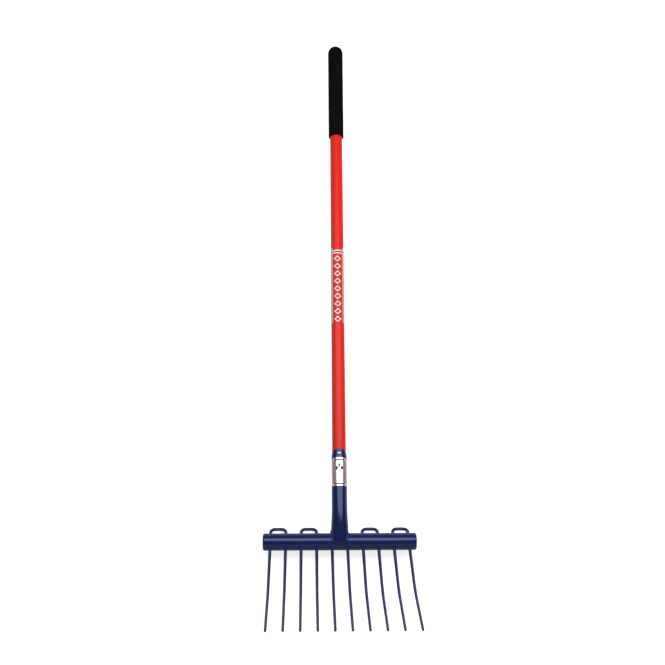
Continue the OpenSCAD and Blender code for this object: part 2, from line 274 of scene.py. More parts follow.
def sweep_section(stations: Sequence[Matrix], sides: int, closed: bool = False) -> bmesh.types.BMesh:
    """Drags a round section along a path.

    Args:
        stations: Places and sizes of the section, in order.
        sides: Number of sides of the section.
        closed: True where the path comes back to its start.

    Returns:
        The closed shape.
    """
    mesh = bmesh.new()
    bmesh.ops.create_circle(mesh, cap_ends=not closed, segments=sides, radius=1.0, matrix=stations[0])
    first = mesh.edges[:]
    front = first
    for before, after in zip(stations, stations[1:]):
        made = bmesh.ops.extrude_edge_only(mesh, edges=front)["geom"]
        front = [item for item in made if isinstance(item, bmesh.types.BMEdge)]
        moved = [item for item in made if isinstance(item, bmesh.types.BMVert)]
        bmesh.ops.transform(mesh, matrix=after @ before.inverted(), verts=moved)
    if closed:
        bmesh.ops.bridge_loops(mesh, edges=first + front)
    else:
        bmesh.ops.edgeloop_fill(mesh, edges=front)
    bmesh.ops.recalc_face_normals(mesh, faces=mesh.faces[:])
    return mesh


def join_shapes(shapes: Iterable[bmesh.types.BMesh]) -> bmesh.types.BMesh:
    """Puts several shapes in one mesh.

    Args:
        shapes: Shapes to put together, which are used up.

    Returns:
        One mesh that holds them all.
    """
    joined = bmesh.new()
    for shape in shapes:
        data = bpy.data.meshes.new("joined_shape")
        shape.to_mesh(data)
        shape.free()
        joined.from_mesh(data)
        bpy.data.meshes.remove(data)
    return joined


# Shader wiring


@dataclass(frozen=True)
class Wiring:
    """A shader node tree that nodes are added to and joined in.

    Attributes:
        tree: The node tree.
    """

    tree: bpy.types.NodeTree

    def add(self, kind: str, feeds: dict[str | int, Any] | None = None, **settings: Any) -> bpy.types.Node:
        """Adds a node.

        Args:
            kind: Type name of the node.
            feeds: Sockets or plain values for the node's inputs.
            **settings: Values of the node's own settings.

        Returns:
            The node.
        """
        node = self.tree.nodes.new(kind)
        for key, value in settings.items():
            setattr(node, key, value)
        for key, value in (feeds or {}).items():
            self.feed(node, key, value)
        return node

    def feed(self, node: bpy.types.Node, key: str | int, value: Any) -> None:
        """Joins a socket to an input, or sets the input's plain value.

        Args:
            node: Node that has the input.
            key: Name or number of the input.
            value: Socket or plain value.
        """
        if isinstance(value, bpy.types.NodeSocket):
            self.tree.links.new(value, node.inputs[key])
        elif isinstance(value, tuple) and len(value) == 3 and node.inputs[key].type == "RGBA":
            node.inputs[key].default_value = (*value, 1.0)
        else:
            node.inputs[key].default_value = value

    def math(self, operation: str, first: Any, second: Any = 0.0) -> bpy.types.NodeSocket:
        """Adds a sum on two sockets or numbers."""
        return self.add("ShaderNodeMath", {0: first, 1: second}, operation=operation).outputs[0]

    def vector_math(self, operation: str, first: Any, second: Any = ORIGIN) -> bpy.types.NodeSocket:
        """Adds a sum on two sockets or vectors that gives a vector."""
        return self.add("ShaderNodeVectorMath", {0: first, 1: second}, operation=operation).outputs["Vector"]

    def length(self, vector: Any) -> bpy.types.NodeSocket:
        """Measures a vector."""
        return self.add("ShaderNodeVectorMath", {0: vector}, operation="LENGTH").outputs["Value"]

    def blend(self, share: Any, first: Any, second: Any) -> bpy.types.NodeSocket:
        """Blends two sockets or colours, with a share of the second one."""
        feeds = {MIX_SHARE: share, MIX_FIRST: first, MIX_SECOND: second}
        return self.add("ShaderNodeMix", feeds, data_type="RGBA").outputs[MIX_RESULT]

    def spread(self, value: Any, result: Span) -> bpy.types.NodeSocket:
        """Spreads a value from zero to one over another range."""
        feeds = {"Value": value, "To Min": result[0], "To Max": result[1]}
        return self.add("ShaderNodeMapRange", feeds).outputs[0]

    def ease(self, value: Any, given: Span, result: Span = (0.0, 1.0)) -> bpy.types.NodeSocket:
        """Takes a value from one range to another, slowly at both ends.

        Args:
            value: Socket or number.
            given: Range of the value.
            result: Range of the result.

        Returns:
            The result.
        """
        feeds = {
            "Value": value,
            "From Min": given[0],
            "From Max": given[1],
            "To Min": result[0],
            "To Max": result[1],
        }
        return self.add("ShaderNodeMapRange", feeds, interpolation_type="SMOOTHSTEP").outputs[0]

    def place_group(self, group: bpy.types.NodeTree, **feeds: Any) -> bpy.types.Node:
        """Places a shared effect.

        Args:
            group: Node group of the effect.
            **feeds: Sockets or plain values for its inputs.

        Returns:
            The group's node.
        """
        node = self.tree.nodes.new("ShaderNodeGroup")
        node.node_tree = group
        for key, value in feeds.items():
            self.feed(node, key, value)
        return node


def new_group(
    name: str, inputs: dict[str, str], outputs: dict[str, str]
) -> tuple[Wiring, bpy.types.Node, bpy.types.Node]:
    """Starts a shared effect.

    Args:
        name: Name of the effect.
        inputs: Socket type of each input.
        outputs: Socket type of each output.

    Returns:
        The wiring, with the nodes that hold the inputs and the outputs.
    """
    tree = bpy.data.node_groups.new(name, "ShaderNodeTree")
    for key, kind in inputs.items():
        tree.interface.new_socket(name=key, in_out="INPUT", socket_type=kind)
    for key, kind in outputs.items():
        tree.interface.new_socket(name=key, in_out="OUTPUT", socket_type=kind)
    net = Wiring(tree)
    return net, net.add("NodeGroupInput"), net.add("NodeGroupOutput")


class Effects:
    """Shared effects, each built once, when a finish first asks for it."""

    @cached_property
    def mottle(self) -> bpy.types.NodeTree:
        """Soft patches of a second colour.

        Returns:
            The node group.
        """
        net, given, result = new_group(
            "soft_mottle",
            {"Vector": VECTOR, "Base": COLOUR, "Tint": COLOUR, "Scale": VALUE, "Amount": VALUE},
            {"Colour": COLOUR},
        )
        patches = net.add(
            "ShaderNodeTexNoise",
            {"Vector": given.outputs["Vector"], "Scale": given.outputs["Scale"], "Detail": 4.0},
        )
        share = net.math("MULTIPLY", patches.outputs[0], given.outputs["Amount"])
        net.feed(result, "Colour", net.blend(share, given.outputs["Base"], given.outputs["Tint"]))
        return net.tree

    @cached_property
    def grain(self) -> bpy.types.NodeTree:
        """Fine grain for bump and gloss, stretched by a vector of its own.

        Returns:
            The node group.
        """
        net, given, result = new_group(
            "fine_grain",
            {"Vector": VECTOR, "Stretch": VECTOR, "Scale": VALUE, "Detail": VALUE},
            {"Height": VALUE},
        )
        grains = net.add(
            "ShaderNodeTexNoise",
            {
                "Vector": net.vector_math("MULTIPLY", given.outputs["Vector"], given.outputs["Stretch"]),
                "Scale": given.outputs["Scale"],
                "Detail": given.outputs["Detail"],
                "Roughness": 0.6,
            },
        )
        net.feed(result, "Height", grains.outputs[0])
        return net.tree

    @cached_property
    def scuffs(self) -> bpy.types.NodeTree:
        """Thin rub marks that come in patches.

        Returns:
            The node group.
        """
        net, given, result = new_group(
            "rub_marks",
            {"Vector": VECTOR, "Stretch": VECTOR, "Scale": VALUE, "Width": VALUE, "Cover": VALUE},
            {"Mask": VALUE},
        )
        stretched = net.vector_math("MULTIPLY", given.outputs["Vector"], given.outputs["Stretch"])
        lines = net.add(
            "ShaderNodeTexNoise", {"Vector": stretched, "Scale": given.outputs["Scale"], "Detail": 2.0}
        )
        off_line = net.math("ABSOLUTE", net.math("SUBTRACT", lines.outputs[0], NOISE_MIDDLE))
        thin = net.add(
            "ShaderNodeMapRange",
            {"Value": off_line, "From Max": given.outputs["Width"], "To Min": 1.0, "To Max": 0.0},
        )
        patches = net.add("ShaderNodeTexNoise", {"Vector": given.outputs["Vector"], "Scale": 14.0})
        shown = net.math("GREATER_THAN", given.outputs["Cover"], patches.outputs[0])
        net.feed(result, "Mask", net.math("MULTIPLY", thin.outputs[0], shown))
        return net.tree

    @cached_property
    def print_box(self) -> bpy.types.NodeTree:
        """Printed box with round corners, filled or as a line along its edge.

        Returns:
            The node group.
        """
        net, given, result = new_group(
            "printed_box",
            {"Vector": VECTOR, "Centre": VECTOR, "Half": VECTOR, "Corner": VALUE, "Line": VALUE},
            {"Fill": VALUE, "Edge": VALUE},
        )
        corner = given.outputs["Corner"]
        off_centre = net.vector_math("SUBTRACT", given.outputs["Vector"], given.outputs["Centre"])
        off_side = net.vector_math("SUBTRACT", net.vector_math("ABSOLUTE", off_centre), given.outputs["Half"])
        rounding = net.add("ShaderNodeCombineXYZ", {"X": corner, "Y": corner}).outputs[0]
        off_core = net.vector_math("ADD", off_side, rounding)
        outside = net.length(net.vector_math("MAXIMUM", off_core))
        parts = net.add("ShaderNodeSeparateXYZ", {0: off_core})
        inside = net.math("MINIMUM", net.math("MAXIMUM", parts.outputs["X"], parts.outputs["Y"]))
        distance = net.math("SUBTRACT", net.math("ADD", outside, inside), corner)
        fill = net.math("LESS_THAN", distance)
        rim = net.math("GREATER_THAN", net.math("ADD", distance, given.outputs["Line"]))
        net.feed(result, "Fill", fill)
        net.feed(result, "Edge", net.math("MULTIPLY", fill, rim))
        return net.tree


def lozenge_mask(
    net: Wiring, spots: bpy.types.NodeSocket, centre: Point, half: Point
) -> bpy.types.NodeSocket:
    """Prints a lozenge.

    Args:
        net: Wiring of the material.
        spots: Places on the film.
        centre: Middle of the lozenge.
        half: Half of its width and height.

    Returns:
        A mask that is one inside the lozenge.
    """
    off_centre = net.vector_math("SUBTRACT", spots, (*centre, 0.0))
    shares = net.vector_math("DIVIDE", net.vector_math("ABSOLUTE", off_centre), (*half, 1.0))
    parts = net.add("ShaderNodeSeparateXYZ", {0: shares})
    return net.math("LESS_THAN", net.math("ADD", parts.outputs["X"], parts.outputs["Y"]), 1.0)


# Finishes


@dataclass(frozen=True, kw_only=True)
class Finish:
    """A surface finish, with soft patches in its colour and a fine grain in its gloss and bump.

    Attributes:
        name: Name of the material.
        effects: Shared effects.
        colour: Main colour.
        tint: Colour of the patches.
        patch_scale: Fineness of the patches.
        patch_share: Share of the tint where a patch is strongest.
        grain_scale: Fineness of the grain.
        grain_detail: Number of finer layers in the grain.
        grain_stretch: Fineness of the grain along each axis, as a share of its scale.
        grain_depth: Depth of the grain.
        gloss: Roughness at the bottom and at the top of the grain.
        specular: Specular level of the shader.
        metallic: Metallic level of the shader.
    """

    name: str
    effects: Effects
    colour: Colour
    tint: Colour
    patch_scale: float
    patch_share: float
    grain_scale: float
    grain_detail: float = 3.0
    grain_stretch: Place = EVEN
    grain_depth: float
    gloss: Span
    specular: float = 0.50
    metallic: float = 0.0

    def material(self) -> bpy.types.Material:
        """Builds the material.

        Returns:
            The material.
        """
        made = bpy.data.materials.new(self.name)
        made.use_nodes = True
        shader = made.node_tree.nodes["Principled BSDF"]
        shader.inputs["Specular IOR Level"].default_value = self.specular
        shader.inputs["Metallic"].default_value = self.metallic
        self.wire(Wiring(made.node_tree), shader)
        return made

    def wire(self, net: Wiring, shader: bpy.types.Node) -> None:
        """Joins the colour, the gloss and the grain to the shader.

        Args:
            net: Wiring of the material.
            shader: Its shader node.
        """
        places = self.places(net)
        grain = self.grain(net, places, self.grain_scale, self.grain_detail)
        net.feed(shader, "Base Color", self.shade(net, places))
        net.feed(shader, "Roughness", net.spread(grain, self.gloss))
        self.bump(net, shader, self.relief(net, places, grain))

    def places(self, net: Wiring) -> bpy.types.NodeSocket:
        """Places on the object, in metres."""
        return net.add("ShaderNodeTexCoord").outputs["Object"]

    def shade(self, net: Wiring, places: bpy.types.NodeSocket) -> bpy.types.NodeSocket:
        """Colour of the surface, which is the plain patches unless a finish adds to them."""
        return self.patches(net, places)

    def relief(
        self, net: Wiring, places: bpy.types.NodeSocket, grain: bpy.types.NodeSocket
    ) -> bpy.types.NodeSocket:
        """Height of the surface, which is the plain grain unless a finish adds to it."""
        return grain

    def patches(self, net: Wiring, places: bpy.types.NodeSocket) -> bpy.types.NodeSocket:
        """Lays soft patches of the tint over the main colour.

        Args:
            net: Wiring of the material.
            places: Places on the object.

        Returns:
            The colour.
        """
        mottle = net.place_group(
            self.effects.mottle,
            Vector=places,
            Base=self.colour,
            Tint=self.tint,
            Scale=self.patch_scale,
            Amount=self.patch_share,
        )
        return mottle.outputs["Colour"]

    def grain(
        self, net: Wiring, places: bpy.types.NodeSocket, scale: float, detail: float
    ) -> bpy.types.NodeSocket:
        """Makes a fine grain with the finish's own stretch.

        Args:
            net: Wiring of the material.
            places: Places on the object.
            scale: Fineness of the grain.
            detail: Number of finer layers in it.

        Returns:
            Its height from zero to one.
        """
        grain = net.place_group(
            self.effects.grain, Vector=places, Stretch=self.grain_stretch, Scale=scale, Detail=detail
        )
        return grain.outputs["Height"]

    def bump(self, net: Wiring, shader: bpy.types.Node, height: bpy.types.NodeSocket) -> None:
        """Raises the surface by a height from zero to one."""
        node = net.add("ShaderNodeBump", {"Strength": 1.0, "Distance": self.grain_depth, "Height": height})
        net.feed(shader, "Normal", node.outputs[0])


@dataclass(frozen=True, kw_only=True)
class RubbedFinish(Finish):
    """A finish with thin rub marks that come in patches.

    Attributes:
        rubbed: Colour of the marks.
        rub_share: Share of that colour in a mark.
        rub_scale: Fineness of the marks.
        rub_stretch: Fineness of the marks along each axis, as a share of their scale.
        rub_width: Width of the marks.
        rub_cover: How much of the surface has marks.
    """

    rubbed: Colour
    rub_share: float
    rub_scale: float
    rub_stretch: Place
    rub_width: float
    rub_cover: float

    def shade(self, net: Wiring, places: bpy.types.NodeSocket) -> bpy.types.NodeSocket:
        """Colour of the surface, with the marks over the patches."""
        return net.blend(self.rubs(net, places), self.patches(net, places), self.rubbed)

    def rubs(self, net: Wiring, places: bpy.types.NodeSocket) -> bpy.types.NodeSocket:
        """Makes the rub marks.

        Args:
            net: Wiring of the material.
            places: Places on the object.

        Returns:
            A mask that is strongest in the middle of a mark.
        """
        marks = net.place_group(
            self.effects.scuffs,
            Vector=places,
            Stretch=self.rub_stretch,
            Scale=self.rub_scale,
            Width=self.rub_width,
            Cover=self.rub_cover,
        )
        return net.math("MULTIPLY", marks.outputs["Mask"], self.rub_share)


@dataclass(frozen=True, kw_only=True)
class PowderCoat(RubbedFinish):
    """Navy powder coat on steel, with a fine peel, a few rub marks and a haze that sets its gloss.

    Attributes:
        rub_dulling: Roughness that a full rub mark adds.
        haze_scale: Fineness of the haze.
        haze_detail: Number of finer layers in the haze.
        sheen_tint: Colour of the reflections.
    """

    colour: Colour = (0.0086, 0.0165, 0.0920)
    tint: Colour = (0.0115, 0.0205, 0.1070)
    patch_scale: float = 45.0
    patch_share: float = 0.8
    grain_scale: float = 620.0
    grain_detail: float = 2.0
    grain_depth: float = 0.012 * MM
    gloss: Span = (0.07, 0.12)
    rubbed: Colour = (0.0300, 0.0380, 0.1100)
    rub_share: float = 0.5
    rub_scale: float = 90.0
    rub_stretch: Place = (1.0, 1.0, 3.0)
    rub_width: float = 0.006
    rub_cover: float = 0.42
    rub_dulling: float = 0.2
    haze_scale: float = 70.0
    haze_detail: float = 5.0
    sheen_tint: Colour = (0.56, 0.64, 1.0)

    def wire(self, net: Wiring, shader: bpy.types.Node) -> None:
        """Joins the coat's colour, gloss and peel to its shader.

        Args:
            net: Wiring of the material.
            shader: Its shader node.
        """
        places = self.places(net)
        rubs = self.rubs(net, places)
        net.feed(shader, "Base Color", net.blend(rubs, self.patches(net, places), self.rubbed))
        haze = self.grain(net, places, self.haze_scale, self.haze_detail)
        dulling = net.math("MULTIPLY", rubs, self.rub_dulling)
        net.feed(shader, "Roughness", net.math("ADD", net.spread(haze, self.gloss), dulling))
        self.bump(net, shader, self.grain(net, places, self.grain_scale, self.grain_detail))
        net.feed(shader, "Specular Tint", self.sheen_tint)


@dataclass(frozen=True, kw_only=True)
class DrawnPlastic(RubbedFinish):
    """Red plastic drawn over the core, with faint lines along the shaft."""

    colour: Colour = (0.700, 0.0205, 0.0105)
    tint: Colour = (0.640, 0.0165, 0.0085)
    patch_scale: float = 22.0
    patch_share: float = 0.7
    grain_scale: float = 900.0
    grain_stretch: Place = (1.0, 0.012, 1.0)
    grain_depth: float = 0.012 * MM
    gloss: Span = (0.28, 0.40)
    specular: float = 0.20
    rubbed: Colour = (0.720, 0.060, 0.045)
    rub_share: float = 0.35
    rub_scale: float = 120.0
    rub_stretch: Place = (1.0, 0.25, 1.0)
    rub_width: float = 0.005
    rub_cover: float = 0.40


@dataclass(frozen=True, kw_only=True)
class MouldedRubber(Finish):
    """Matte black rubber with moulded pebbles and a fine grain over them.

    Attributes:
        pebble_scale: Fineness of the pebbles.
        fine_share: Height of the grain as a share of the pebbles' height.
    """

    colour: Colour = (0.0022, 0.0022, 0.0022)
    tint: Colour = (0.0042, 0.0040, 0.0037)
    patch_scale: float = 110.0
    patch_share: float = 0.7
    grain_scale: float = 300.0
    grain_detail: float = 4.0
    grain_depth: float = 0.10 * MM
    gloss: Span = (0.72, 0.95)
    specular: float = 0.05
    pebble_scale: float = 620.0
    fine_share: float = 0.4

    def relief(
        self, net: Wiring, places: bpy.types.NodeSocket, grain: bpy.types.NodeSocket
    ) -> bpy.types.NodeSocket:
        """Raises the pebbles, with the grain over them.

        Args:
            net: Wiring of the material.
            places: Places on the object.
            grain: Height of the grain.

        Returns:
            The height.
        """
        feeds = {"Vector": places, "Scale": self.pebble_scale}
        pebbles = net.add("ShaderNodeTexVoronoi", feeds, feature="SMOOTH_F1")
        return net.math("ADD", pebbles.outputs["Distance"], net.math("MULTIPLY", grain, self.fine_share))


@dataclass(frozen=True, kw_only=True)
class BrightSteel(Finish):
    """Bright steel of the rivet, with fine turning marks."""

    colour: Colour = (0.52, 0.52, 0.53)
    tint: Colour = (0.38, 0.38, 0.40)
    patch_scale: float = 500.0
    patch_share: float = 0.8
    grain_scale: float = 1500.0
    grain_stretch: Place = (1.0, 0.15, 1.0)
    grain_depth: float = 0.02 * MM
    gloss: Span = (0.28, 0.50)
    metallic: float = 1.0


@dataclass(frozen=True, kw_only=True)
class MouldedPlastic(Finish):
    """Plain moulded plastic or glass fibre of the pieces inside the handle."""

    colour: Colour = (0.10, 0.10, 0.105)
    tint: Colour = (0.13, 0.13, 0.135)
    patch_scale: float = 60.0
    patch_share: float = 1.0
    grain_scale: float = 800.0
    grain_depth: float = 0.03 * MM
    gloss: Span = (0.50, 0.70)


@dataclass(frozen=True, kw_only=True)
class PrintedFoil(Finish):
    """Silver sticker with a double key line and a few plain printed shapes.

    Attributes:
        red: Colour of the inner key line and the upper lozenge.
        navy: Colour of the outer key line and the two lower lozenges.
        grey: Colour of the printed rules.
        half_frame: Half of the key line's width and height.
        low_corner: Radius of the key line's lower corners.
        top_corner: Radius of its upper corners.
        line: Width of one key line.
        rule_half: Half of a printed rule's length and thickness.
        rule_rows: Depths of the rules below the sticker's middle, in steps of rule_step.
        rule_step: Distance from one rule to the next.
        mark_half: Half of a printed lozenge's width and height.
        mark_rise: Height of the red lozenge's middle above the sticker's middle.
        mark_low: The same for the two navy lozenges.
        mark_side: Distance of the navy lozenges from the sticker's middle line.
        metal_share: Share of bare foil in the silver, the rest of which is a milky varnish.
        ink_dulling: Roughness that the ink adds.
    """

    colour: Colour = (0.74, 0.74, 0.77)
    tint: Colour = (0.62, 0.62, 0.66)
    patch_scale: float = 160.0
    patch_share: float = 0.9
    grain_scale: float = 220.0
    grain_depth: float = 0.015 * MM
    gloss: Span = (0.12, 0.20)
    red: Colour = (0.58, 0.020, 0.012)
    navy: Colour = (0.016, 0.026, 0.12)
    grey: Colour = (0.30, 0.30, 0.34)
    half_frame: Point = (16.8 * MM, 30.2 * MM)
    low_corner: float = 5.0 * MM
    top_corner: float = 9.0 * MM
    line: float = 1.7 * MM
    rule_half: Point = (9.0 * MM, 0.5 * MM)
    rule_rows: tuple[int, ...] = (1, 2, 3)
    rule_step: float = 6.5 * MM
    mark_half: Point = (4.4 * MM, 5.6 * MM)
    mark_rise: float = 15.5 * MM
    mark_low: float = 9.0 * MM
    mark_side: float = 6.0 * MM
    metal_share: float = 0.72
    ink_dulling: float = 0.16

    def wire(self, net: Wiring, shader: bpy.types.Node) -> None:
        """Joins the foil and its print to the shader.

        Args:
            net: Wiring of the material.
            shader: Its shader node.
        """
        places = self.places(net)
        crinkle = self.grain(net, places, self.grain_scale, self.grain_detail)
        colour = self.patches(net, places)
        ink = 0.0
        for mask, shade in self.prints(net):
            colour = net.blend(mask, colour, shade)
            ink = net.math("MAXIMUM", ink, mask)
        net.feed(shader, "Base Color", colour)
        net.feed(shader, "Metallic", net.math("MULTIPLY", net.math("SUBTRACT", 1.0, ink), self.metal_share))
        dulling = net.math("MULTIPLY", ink, self.ink_dulling)
        net.feed(shader, "Roughness", net.math("ADD", net.spread(crinkle, self.gloss), dulling))
        self.bump(net, shader, crinkle)

    def prints(self, net: Wiring) -> list[tuple[bpy.types.NodeSocket, Colour]]:
        """Prints the key lines, the rules and the lozenges.

        Args:
            net: Wiring of the material.

        Returns:
            Mask and colour of each print, from the lowest to the topmost.
        """
        spots = net.add("ShaderNodeUVMap", uv_map=PRINT_UV).outputs[0]
        upper = net.math("GREATER_THAN", net.add("ShaderNodeSeparateXYZ", {0: spots}).outputs["Y"])
        extra = net.math("MULTIPLY", upper, self.top_corner - self.low_corner)
        corner = net.math("ADD", extra, self.low_corner)
        outer = self.box(net, spots, 0.0, self.half_frame, corner)
        inner_half = (self.half_frame[0] - self.line, self.half_frame[1] - self.line)
        inner = self.box(net, spots, 0.0, inner_half, net.math("SUBTRACT", corner, self.line))
        prints = [(outer.outputs["Edge"], self.navy), (inner.outputs["Edge"], self.red)]
        for row in self.rule_rows:
            rule = self.box(net, spots, -row * self.rule_step, self.rule_half, self.rule_half[1])
            prints.append((rule.outputs["Fill"], self.grey))
        for centre, shade in (
            ((0.0, self.mark_rise), self.red),
            ((-self.mark_side, self.mark_low), self.navy),
            ((self.mark_side, self.mark_low), self.navy),
        ):
            prints.append((lozenge_mask(net, spots, centre, self.mark_half), shade))
        return prints

    def box(
        self, net: Wiring, spots: bpy.types.NodeSocket, rise: float, half: Point, corner: Any
    ) -> bpy.types.Node:
        """Prints a box with round corners on the sticker's middle line.

        Args:
            net: Wiring of the material.
            spots: Places on the sticker.
            rise: Height of the box's middle.
            half: Half of its width and height.
            corner: Radius of its corners, as a number or a socket.

        Returns:
            The node that holds the box's masks.
        """
        return net.place_group(
            self.effects.print_box,
            Vector=spots,
            Centre=(0.0, rise, 0.0),
            Half=(*half, 1.0),
            Corner=corner,
            Line=self.line,
        )


@dataclass(frozen=True, kw_only=True)
class PrintedFilm(Finish):
    """Film on the red shaft, with a column of hollow white lozenges edged in navy and a lined band above it.

    Attributes:
        clear: Colour of the film's clear edges, painted paler than the jacket as a highlight along the film's
            sides.
        white: Colour of the lozenges and the band.
        navy: Colour of their edging and of the band's line.
        step: Distance from one lozenge to the next.
        outer_half: Half of a lozenge's width and height over its edging.
        inner_half: Half of the white lozenge's width and height.
        core_half: Half of the width and height of its red middle.
        margin: Distances from the film's middle line over which its clear edge, with its painted highlight,
            comes in.
        column_top: Height above the film's middle where the column of lozenges ends.
        band_rise: Height of the white band's middle above the film's middle.
        band_half: Half of the white band's height.
        band_line: Half of the height of the navy line along it.
    """

    colour: Colour = (0.700, 0.0205, 0.0105)
    tint: Colour = (0.660, 0.0175, 0.0092)
    patch_scale: float = 22.0
    patch_share: float = 0.7
    grain_scale: float = 500.0
    grain_stretch: Place = (1.0, 0.1, 1.0)
    grain_depth: float = 0.01 * MM
    gloss: Span = (0.28, 0.40)
    specular: float = 0.22
    clear: Colour = (0.730, 0.3600, 0.3100)
    white: Colour = (0.80, 0.79, 0.79)
    navy: Colour = (0.020, 0.022, 0.085)
    step: float = 20.0 * MM
    outer_half: Point = (12.2 * MM, 9.8 * MM)
    inner_half: Point = (10.0 * MM, 8.0 * MM)
    core_half: Point = (6.4 * MM, 5.1 * MM)
    margin: Span = (12.0 * MM, 14.0 * MM)
    column_top: float = 80.0 * MM
    band_rise: float = 89.0 * MM
    band_half: float = 4.5 * MM
    band_line: float = 1.6 * MM

    def shade(self, net: Wiring, places: bpy.types.NodeSocket) -> bpy.types.NodeSocket:
        """Prints the lozenges and the band on the film.

        Args:
            net: Wiring of the material.
            places: Places on the object.

        Returns:
            The colour of the printed film.
        """
        spots = net.add("ShaderNodeUVMap", uv_map=PRINT_UV).outputs[0]
        parts = net.add("ShaderNodeSeparateXYZ", {0: spots})
        off_middle = net.math("ABSOLUTE", parts.outputs["X"])
        # Towards its sides the film goes over into the pale clear colour, which is a painted highlight over
        # the clear edge.
        film = net.blend(net.ease(off_middle, self.margin), self.patches(net, places), self.clear)
        row = net.math("PINGPONG", net.math("ADD", parts.outputs["Y"], self.step / 2), self.step / 2)
        repeated = net.add("ShaderNodeCombineXYZ", {"X": parts.outputs["X"], "Y": row}).outputs[0]
        in_column = net.math("LESS_THAN", parts.outputs["Y"], self.column_top)
        colour = film
        layers = ((self.outer_half, self.navy), (self.inner_half, self.white), (self.core_half, film))
        for half, ink in layers:
            lozenge = lozenge_mask(net, repeated, (0.0, 0.0), half)
            colour = net.blend(net.math("MULTIPLY", lozenge, in_column), colour, ink)
        off_band = net.math("ABSOLUTE", net.math("SUBTRACT", parts.outputs["Y"], self.band_rise))
        for half, ink in ((self.band_half, self.white), (self.band_line, self.navy)):
            colour = net.blend(net.math("LESS_THAN", off_band, half), colour, ink)
        return colour


# Sub-assemblies


@dataclass(frozen=True)
class HandGrip:
    """Closed rubber sleeve with a round end.

    Attributes:
        fork: The fork's own frame.
        radius: Outside radius.
        rim: Height of its open rim along the shaft.
        end: Height of its round end.
        bore: Radius of the bore that grips the handle.
        bore_end: Height of the bore's end.
        rim_round: Rounding of the rim, outside and inside.
        rim_steps: Number of steps in each rounding.
        dome_steps: Number of steps in the round end's outline.
        turn_steps: Number of steps round the shaft.
    """

    fork: ForkFrame
    radius: float
    rim: float
    end: float
    bore: float
    bore_end: float
    rim_round: float = 1.0 * MM
    rim_steps: int = 6
    dome_steps: int = 18
    turn_steps: int = 96

    @classmethod
    def from_frame(cls, fork: ForkFrame, fit: float = 0.1 * MM) -> HandGrip:
        """Takes the grip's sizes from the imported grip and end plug.

        Args:
            fork: The fork's own frame.
            fit: Gap between the grip and the handle.

        Returns:
            The grip.
        """
        low, high = fork.extent("hand_grip")
        plug_high = fork.extent("end_plug")[1]
        return cls(fork, high.x, low.y, high.y, plug_high.x + fit, plug_high.y + fit)

    def build(self, rubber: bpy.types.Material) -> None:
        """Models the sleeve.

        Args:
            rubber: Finish of the sleeve.
        """
        rounding = self.rim_round
        inner_round = (self.bore + rounding, self.rim + rounding)
        outer_round = (self.radius - rounding, self.rim + rounding)
        dome_centre = (0.0, self.end - self.radius)
        outline = [(0.0, self.bore_end), (self.bore, self.bore_end)]
        outline += arc(inner_round, rounding, 180.0, 270.0, self.rim_steps)
        outline += arc(outer_round, rounding, -90.0, 0.0, self.rim_steps)
        outline += arc(dome_centre, self.radius, 0.0, 90.0, self.dome_steps)
        sleeve = spin_outline(outline, self.turn_steps)
        self.fork.add_piece(sleeve, "grip_sleeve", rubber, Slot.GRIP, "hand_grip")


@dataclass(frozen=True)
class Film:
    """Thin sheet with round corners, wrapped round the front of the shaft.

    Attributes:
        width: Width of the sheet along its wrap.
        low: Height of its lower edge along the shaft.
        high: Height of its upper edge.
        thickness: Thickness of the sheet.
        low_corner: Radius of its lower corners.
        top_corner: Radius of its upper corners.
        inner_radius: Radius under the sheet at a height.
        columns: Number of strips that the wrap is cut into.
        rows: Number of strips that the height is cut into.
        corner_steps: Number of steps in a corner.
    """

    width: float
    low: float
    high: float
    thickness: float
    low_corner: float
    top_corner: float
    inner_radius: Callable[[float], float]
    columns: int = 28
    rows: int = 6
    corner_steps: int = 8

    def model(self) -> bmesh.types.BMesh:
        """Models the sheet flat and wraps it.

        Returns:
            The wrapped sheet, with its printed places as a UV map from its middle.
        """
        height = self.high - self.low
        middle = (self.low + self.high) / 2
        sheet = bmesh.new()
        bmesh.ops.create_grid(sheet, x_segments=1, y_segments=1, size=0.5)
        bmesh.ops.scale(sheet, vec=(self.width, height, 1.0), verts=sheet.verts[:])
        corners = sheet.verts[:]
        low_pair = [vertex for vertex in corners if vertex.co.y < 0.0]
        top_pair = [vertex for vertex in corners if vertex.co.y > 0.0]
        for pair, radius in ((low_pair, self.low_corner), (top_pair, self.top_corner)):
            bmesh.ops.bevel(
                sheet,
                geom=pair,
                offset=radius,
                affect="VERTICES",
                segments=self.corner_steps,
                profile=0.5,
                material=-1,
            )
        for axis, size, count in ((0, self.width, self.columns), (1, height, self.rows)):
            self.cut(sheet, axis, size, count)
        spots = sheet.loops.layers.uv.new(PRINT_UV)
        for face in sheet.faces:
            for loop in face.loops:
                loop[spots].uv = loop.vert.co.xy
        bmesh.ops.solidify(sheet, geom=sheet.faces[:], thickness=self.thickness)
        base = min(vertex.co.z for vertex in sheet.verts)
        for vertex in sheet.verts:
            along = middle + vertex.co.y
            under = self.inner_radius(along)
            turn = vertex.co.x / (under + self.thickness)
            radius = under + vertex.co.z - base
            vertex.co = (radius * math.sin(turn), along, radius * math.cos(turn))
        bmesh.ops.recalc_face_normals(sheet, faces=sheet.faces[:])
        return sheet

    @staticmethod
    def cut(sheet: bmesh.types.BMesh, axis: int, size: float, count: int) -> None:
        """Cuts the flat sheet into strips, so that it can bend.

        Args:
            sheet: The flat sheet.
            axis: Axis along which the strips follow one another.
            size: Size of the sheet on that axis.
            count: Number of strips.
        """
        normal = Vector(ORIGIN)
        normal[axis] = 1.0
        for step in range(1, count):
            bmesh.ops.bisect_plane(
                sheet,
                geom=sheet.verts[:] + sheet.edges[:] + sheet.faces[:],
                plane_co=normal * (size * (step / count - 0.5)),
                plane_no=normal,
            )


